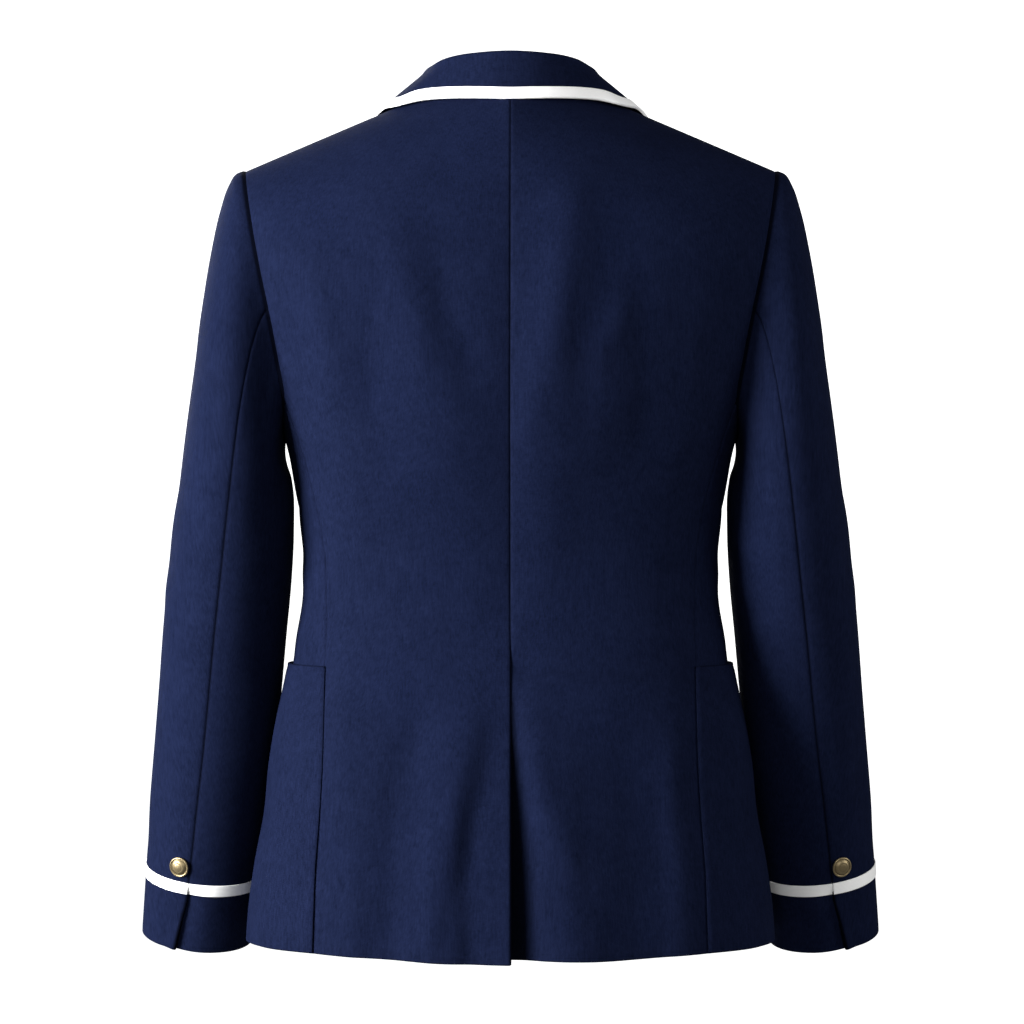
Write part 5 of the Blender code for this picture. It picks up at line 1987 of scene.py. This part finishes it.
@dataclass
class Button:
    """A domed metal button with a rim and two plain rings."""

    radius: float
    # share of the radius, height as a share of the radius
    profile: tuple = (
        (0.00, 0.46), (0.15, 0.455), (0.30, 0.43), (0.36, 0.425), (0.39, 0.395), (0.42, 0.41),
        (0.56, 0.36), (0.66, 0.30), (0.74, 0.23), (0.78, 0.185), (0.81, 0.180), (0.84, 0.215),
        (0.88, 0.240), (0.93, 0.235), (0.98, 0.19), (1.00, 0.12), (0.98, 0.05), (0.90, 0.0),
        (0.50, 0.0), (0.0, 0.0),
    )

    def make(self, sewing: Sewing, node: str, place: Vector, out: Vector) -> None:
        """Makes the button by turning its profile.

        Args:
            sewing: Holds the finishes and the collection.
            node: The node that it replaces.
            place: Middle of its back.
            out: The way it faces.
        """
        name = node + "_dome"
        shape = bmesh.new()
        last = None
        for share, height in self.profile:
            vertex = shape.verts.new((share * self.radius, 0.0, height * self.radius))
            if last is not None:
                shape.edges.new((last, vertex))
            last = vertex
        bmesh.ops.spin(shape, geom=list(shape.verts) + list(shape.edges), cent=(0, 0, 0), axis=(0, 0, 1),
                       angle=2 * math.pi, steps=48, use_merge=True)
        bmesh.ops.remove_doubles(shape, verts=list(shape.verts), dist=1e-6)
        bmesh.ops.recalc_face_normals(shape, faces=list(shape.faces))
        turn = out.to_track_quat("Z", "Y").to_matrix().to_4x4()
        turn.translation = place
        bmesh.ops.transform(shape, matrix=turn, verts=list(shape.verts))
        sewing.finished(name, shape, sewing.brass, node)
        log.info("%s: radius %.1f mm", name, self.radius * 1000)


@dataclass
class Studio:
    """Camera, lights, floor and backdrop."""

    distance: float = 3.0
    aim_level: float = -0.331
    aim_x: float = -0.00125
    lens: float = 127.0
    shell_radius: float = 8.0
    light_aim: float = -0.35
    # name, place, size, power
    lights: tuple = (
        ("key_light", (2.2, 1.15, -0.05), 1.1, 270.0),
        ("fill_light", (-0.3, 3.2, 0.5), 2.2, 31.0),
        ("rim_light", (-2.2, 0.50, 0.2), 1.0, 20.0),
        ("front_light", (1.3, -2.4, 0.9), 1.8, 125.0),
    )
    sky: float = 0.28

    def make(self) -> None:
        """Makes the whole set."""
        self.make_camera()
        self.make_shell()
        for name, place, size, power in self.lights:
            self.make_light(name, place, size, power)
        world = bpy.data.worlds.new("studio")
        world.use_nodes = True
        sky = world.node_tree.nodes["Background"]
        sky.inputs["Color"].default_value = (1.0, 1.0, 1.0, 1.0)
        sky.inputs["Strength"].default_value = self.sky
        scene = bpy.context.scene
        scene.world = world
        scene.view_settings.view_transform = "Standard"

    def make_camera(self) -> None:
        """Makes the camera behind the wearer, level with the middle of the back."""
        data = bpy.data.cameras.new("camera")
        data.lens = self.lens
        data.sensor_width = 36.0
        camera = bpy.data.objects.new("camera", data)
        camera.location = (self.aim_x, self.distance, self.aim_level)
        camera.rotation_euler = (math.pi / 2, 0.0, math.pi)
        bpy.context.scene.collection.objects.link(camera)
        bpy.context.scene.camera = camera

    def make_light(self, name: str, place: tuple, size: float, power: float) -> None:
        """Makes a square light that faces the garment's middle.

        Args:
            name: Name of the light.
            place: Where it stands.
            size: Length of its sides.
            power: Its power in watts.
        """
        data = bpy.data.lights.new(name, "AREA")
        data.size = size
        data.energy = power
        light = bpy.data.objects.new(name, data)
        light.location = place
        way = Vector((0.0, 0.0, self.light_aim)) - Vector(place)
        light.rotation_euler = way.to_track_quat("-Z", "Y").to_euler()
        bpy.context.scene.collection.objects.link(light)

    def make_shell(self) -> None:
        """Makes the floor and the backdrop all round as one closed shell."""
        paper = Paper()
        sheet = bmesh.new()
        bmesh.ops.create_uvsphere(sheet, u_segments=64, v_segments=32, radius=self.shell_radius)
        for vertex in sheet.verts:
            vertex.co.z = max(vertex.co.z, paper.floor_level)
        bmesh.ops.reverse_faces(sheet, faces=list(sheet.faces))
        floor = object_of("floor", sheet, paper.make(), bpy.context.scene.collection)
        floor.visible_diffuse = False
        floor.visible_glossy = False
        floor.visible_shadow = False


def main() -> None:
    """Builds the studio and the garment, in order."""
    Studio().make()
    sewing = Sewing()
    cut = Cut()
    halves = {}
    for side in (Side.RIGHT, Side.LEFT):
        torso = Torso(cut, side)
        torso.shape()
        torso.sew(sewing)
        Sleeve(cut, torso).sew(sewing)
        halves[side] = torso
    Collar(cut, halves[Side.LEFT]).sew(sewing)
    for word, level in FRONT_BUTTON_LEVELS:
        depths = [cut.front_depth(Side.LEFT, 0.0, level + end * FRONT_BUTTON_RADIUS) for end in (-1, 0, 1)]
        place = Vector((0.0, min(depths) - BUTTON_SHANK, level))
        Button(FRONT_BUTTON_RADIUS).make(sewing, "front_button_" + word, place, Vector((0, -1, 0)))


if __name__ == "__main__":
    logging.basicConfig(level=logging.INFO)
    main()
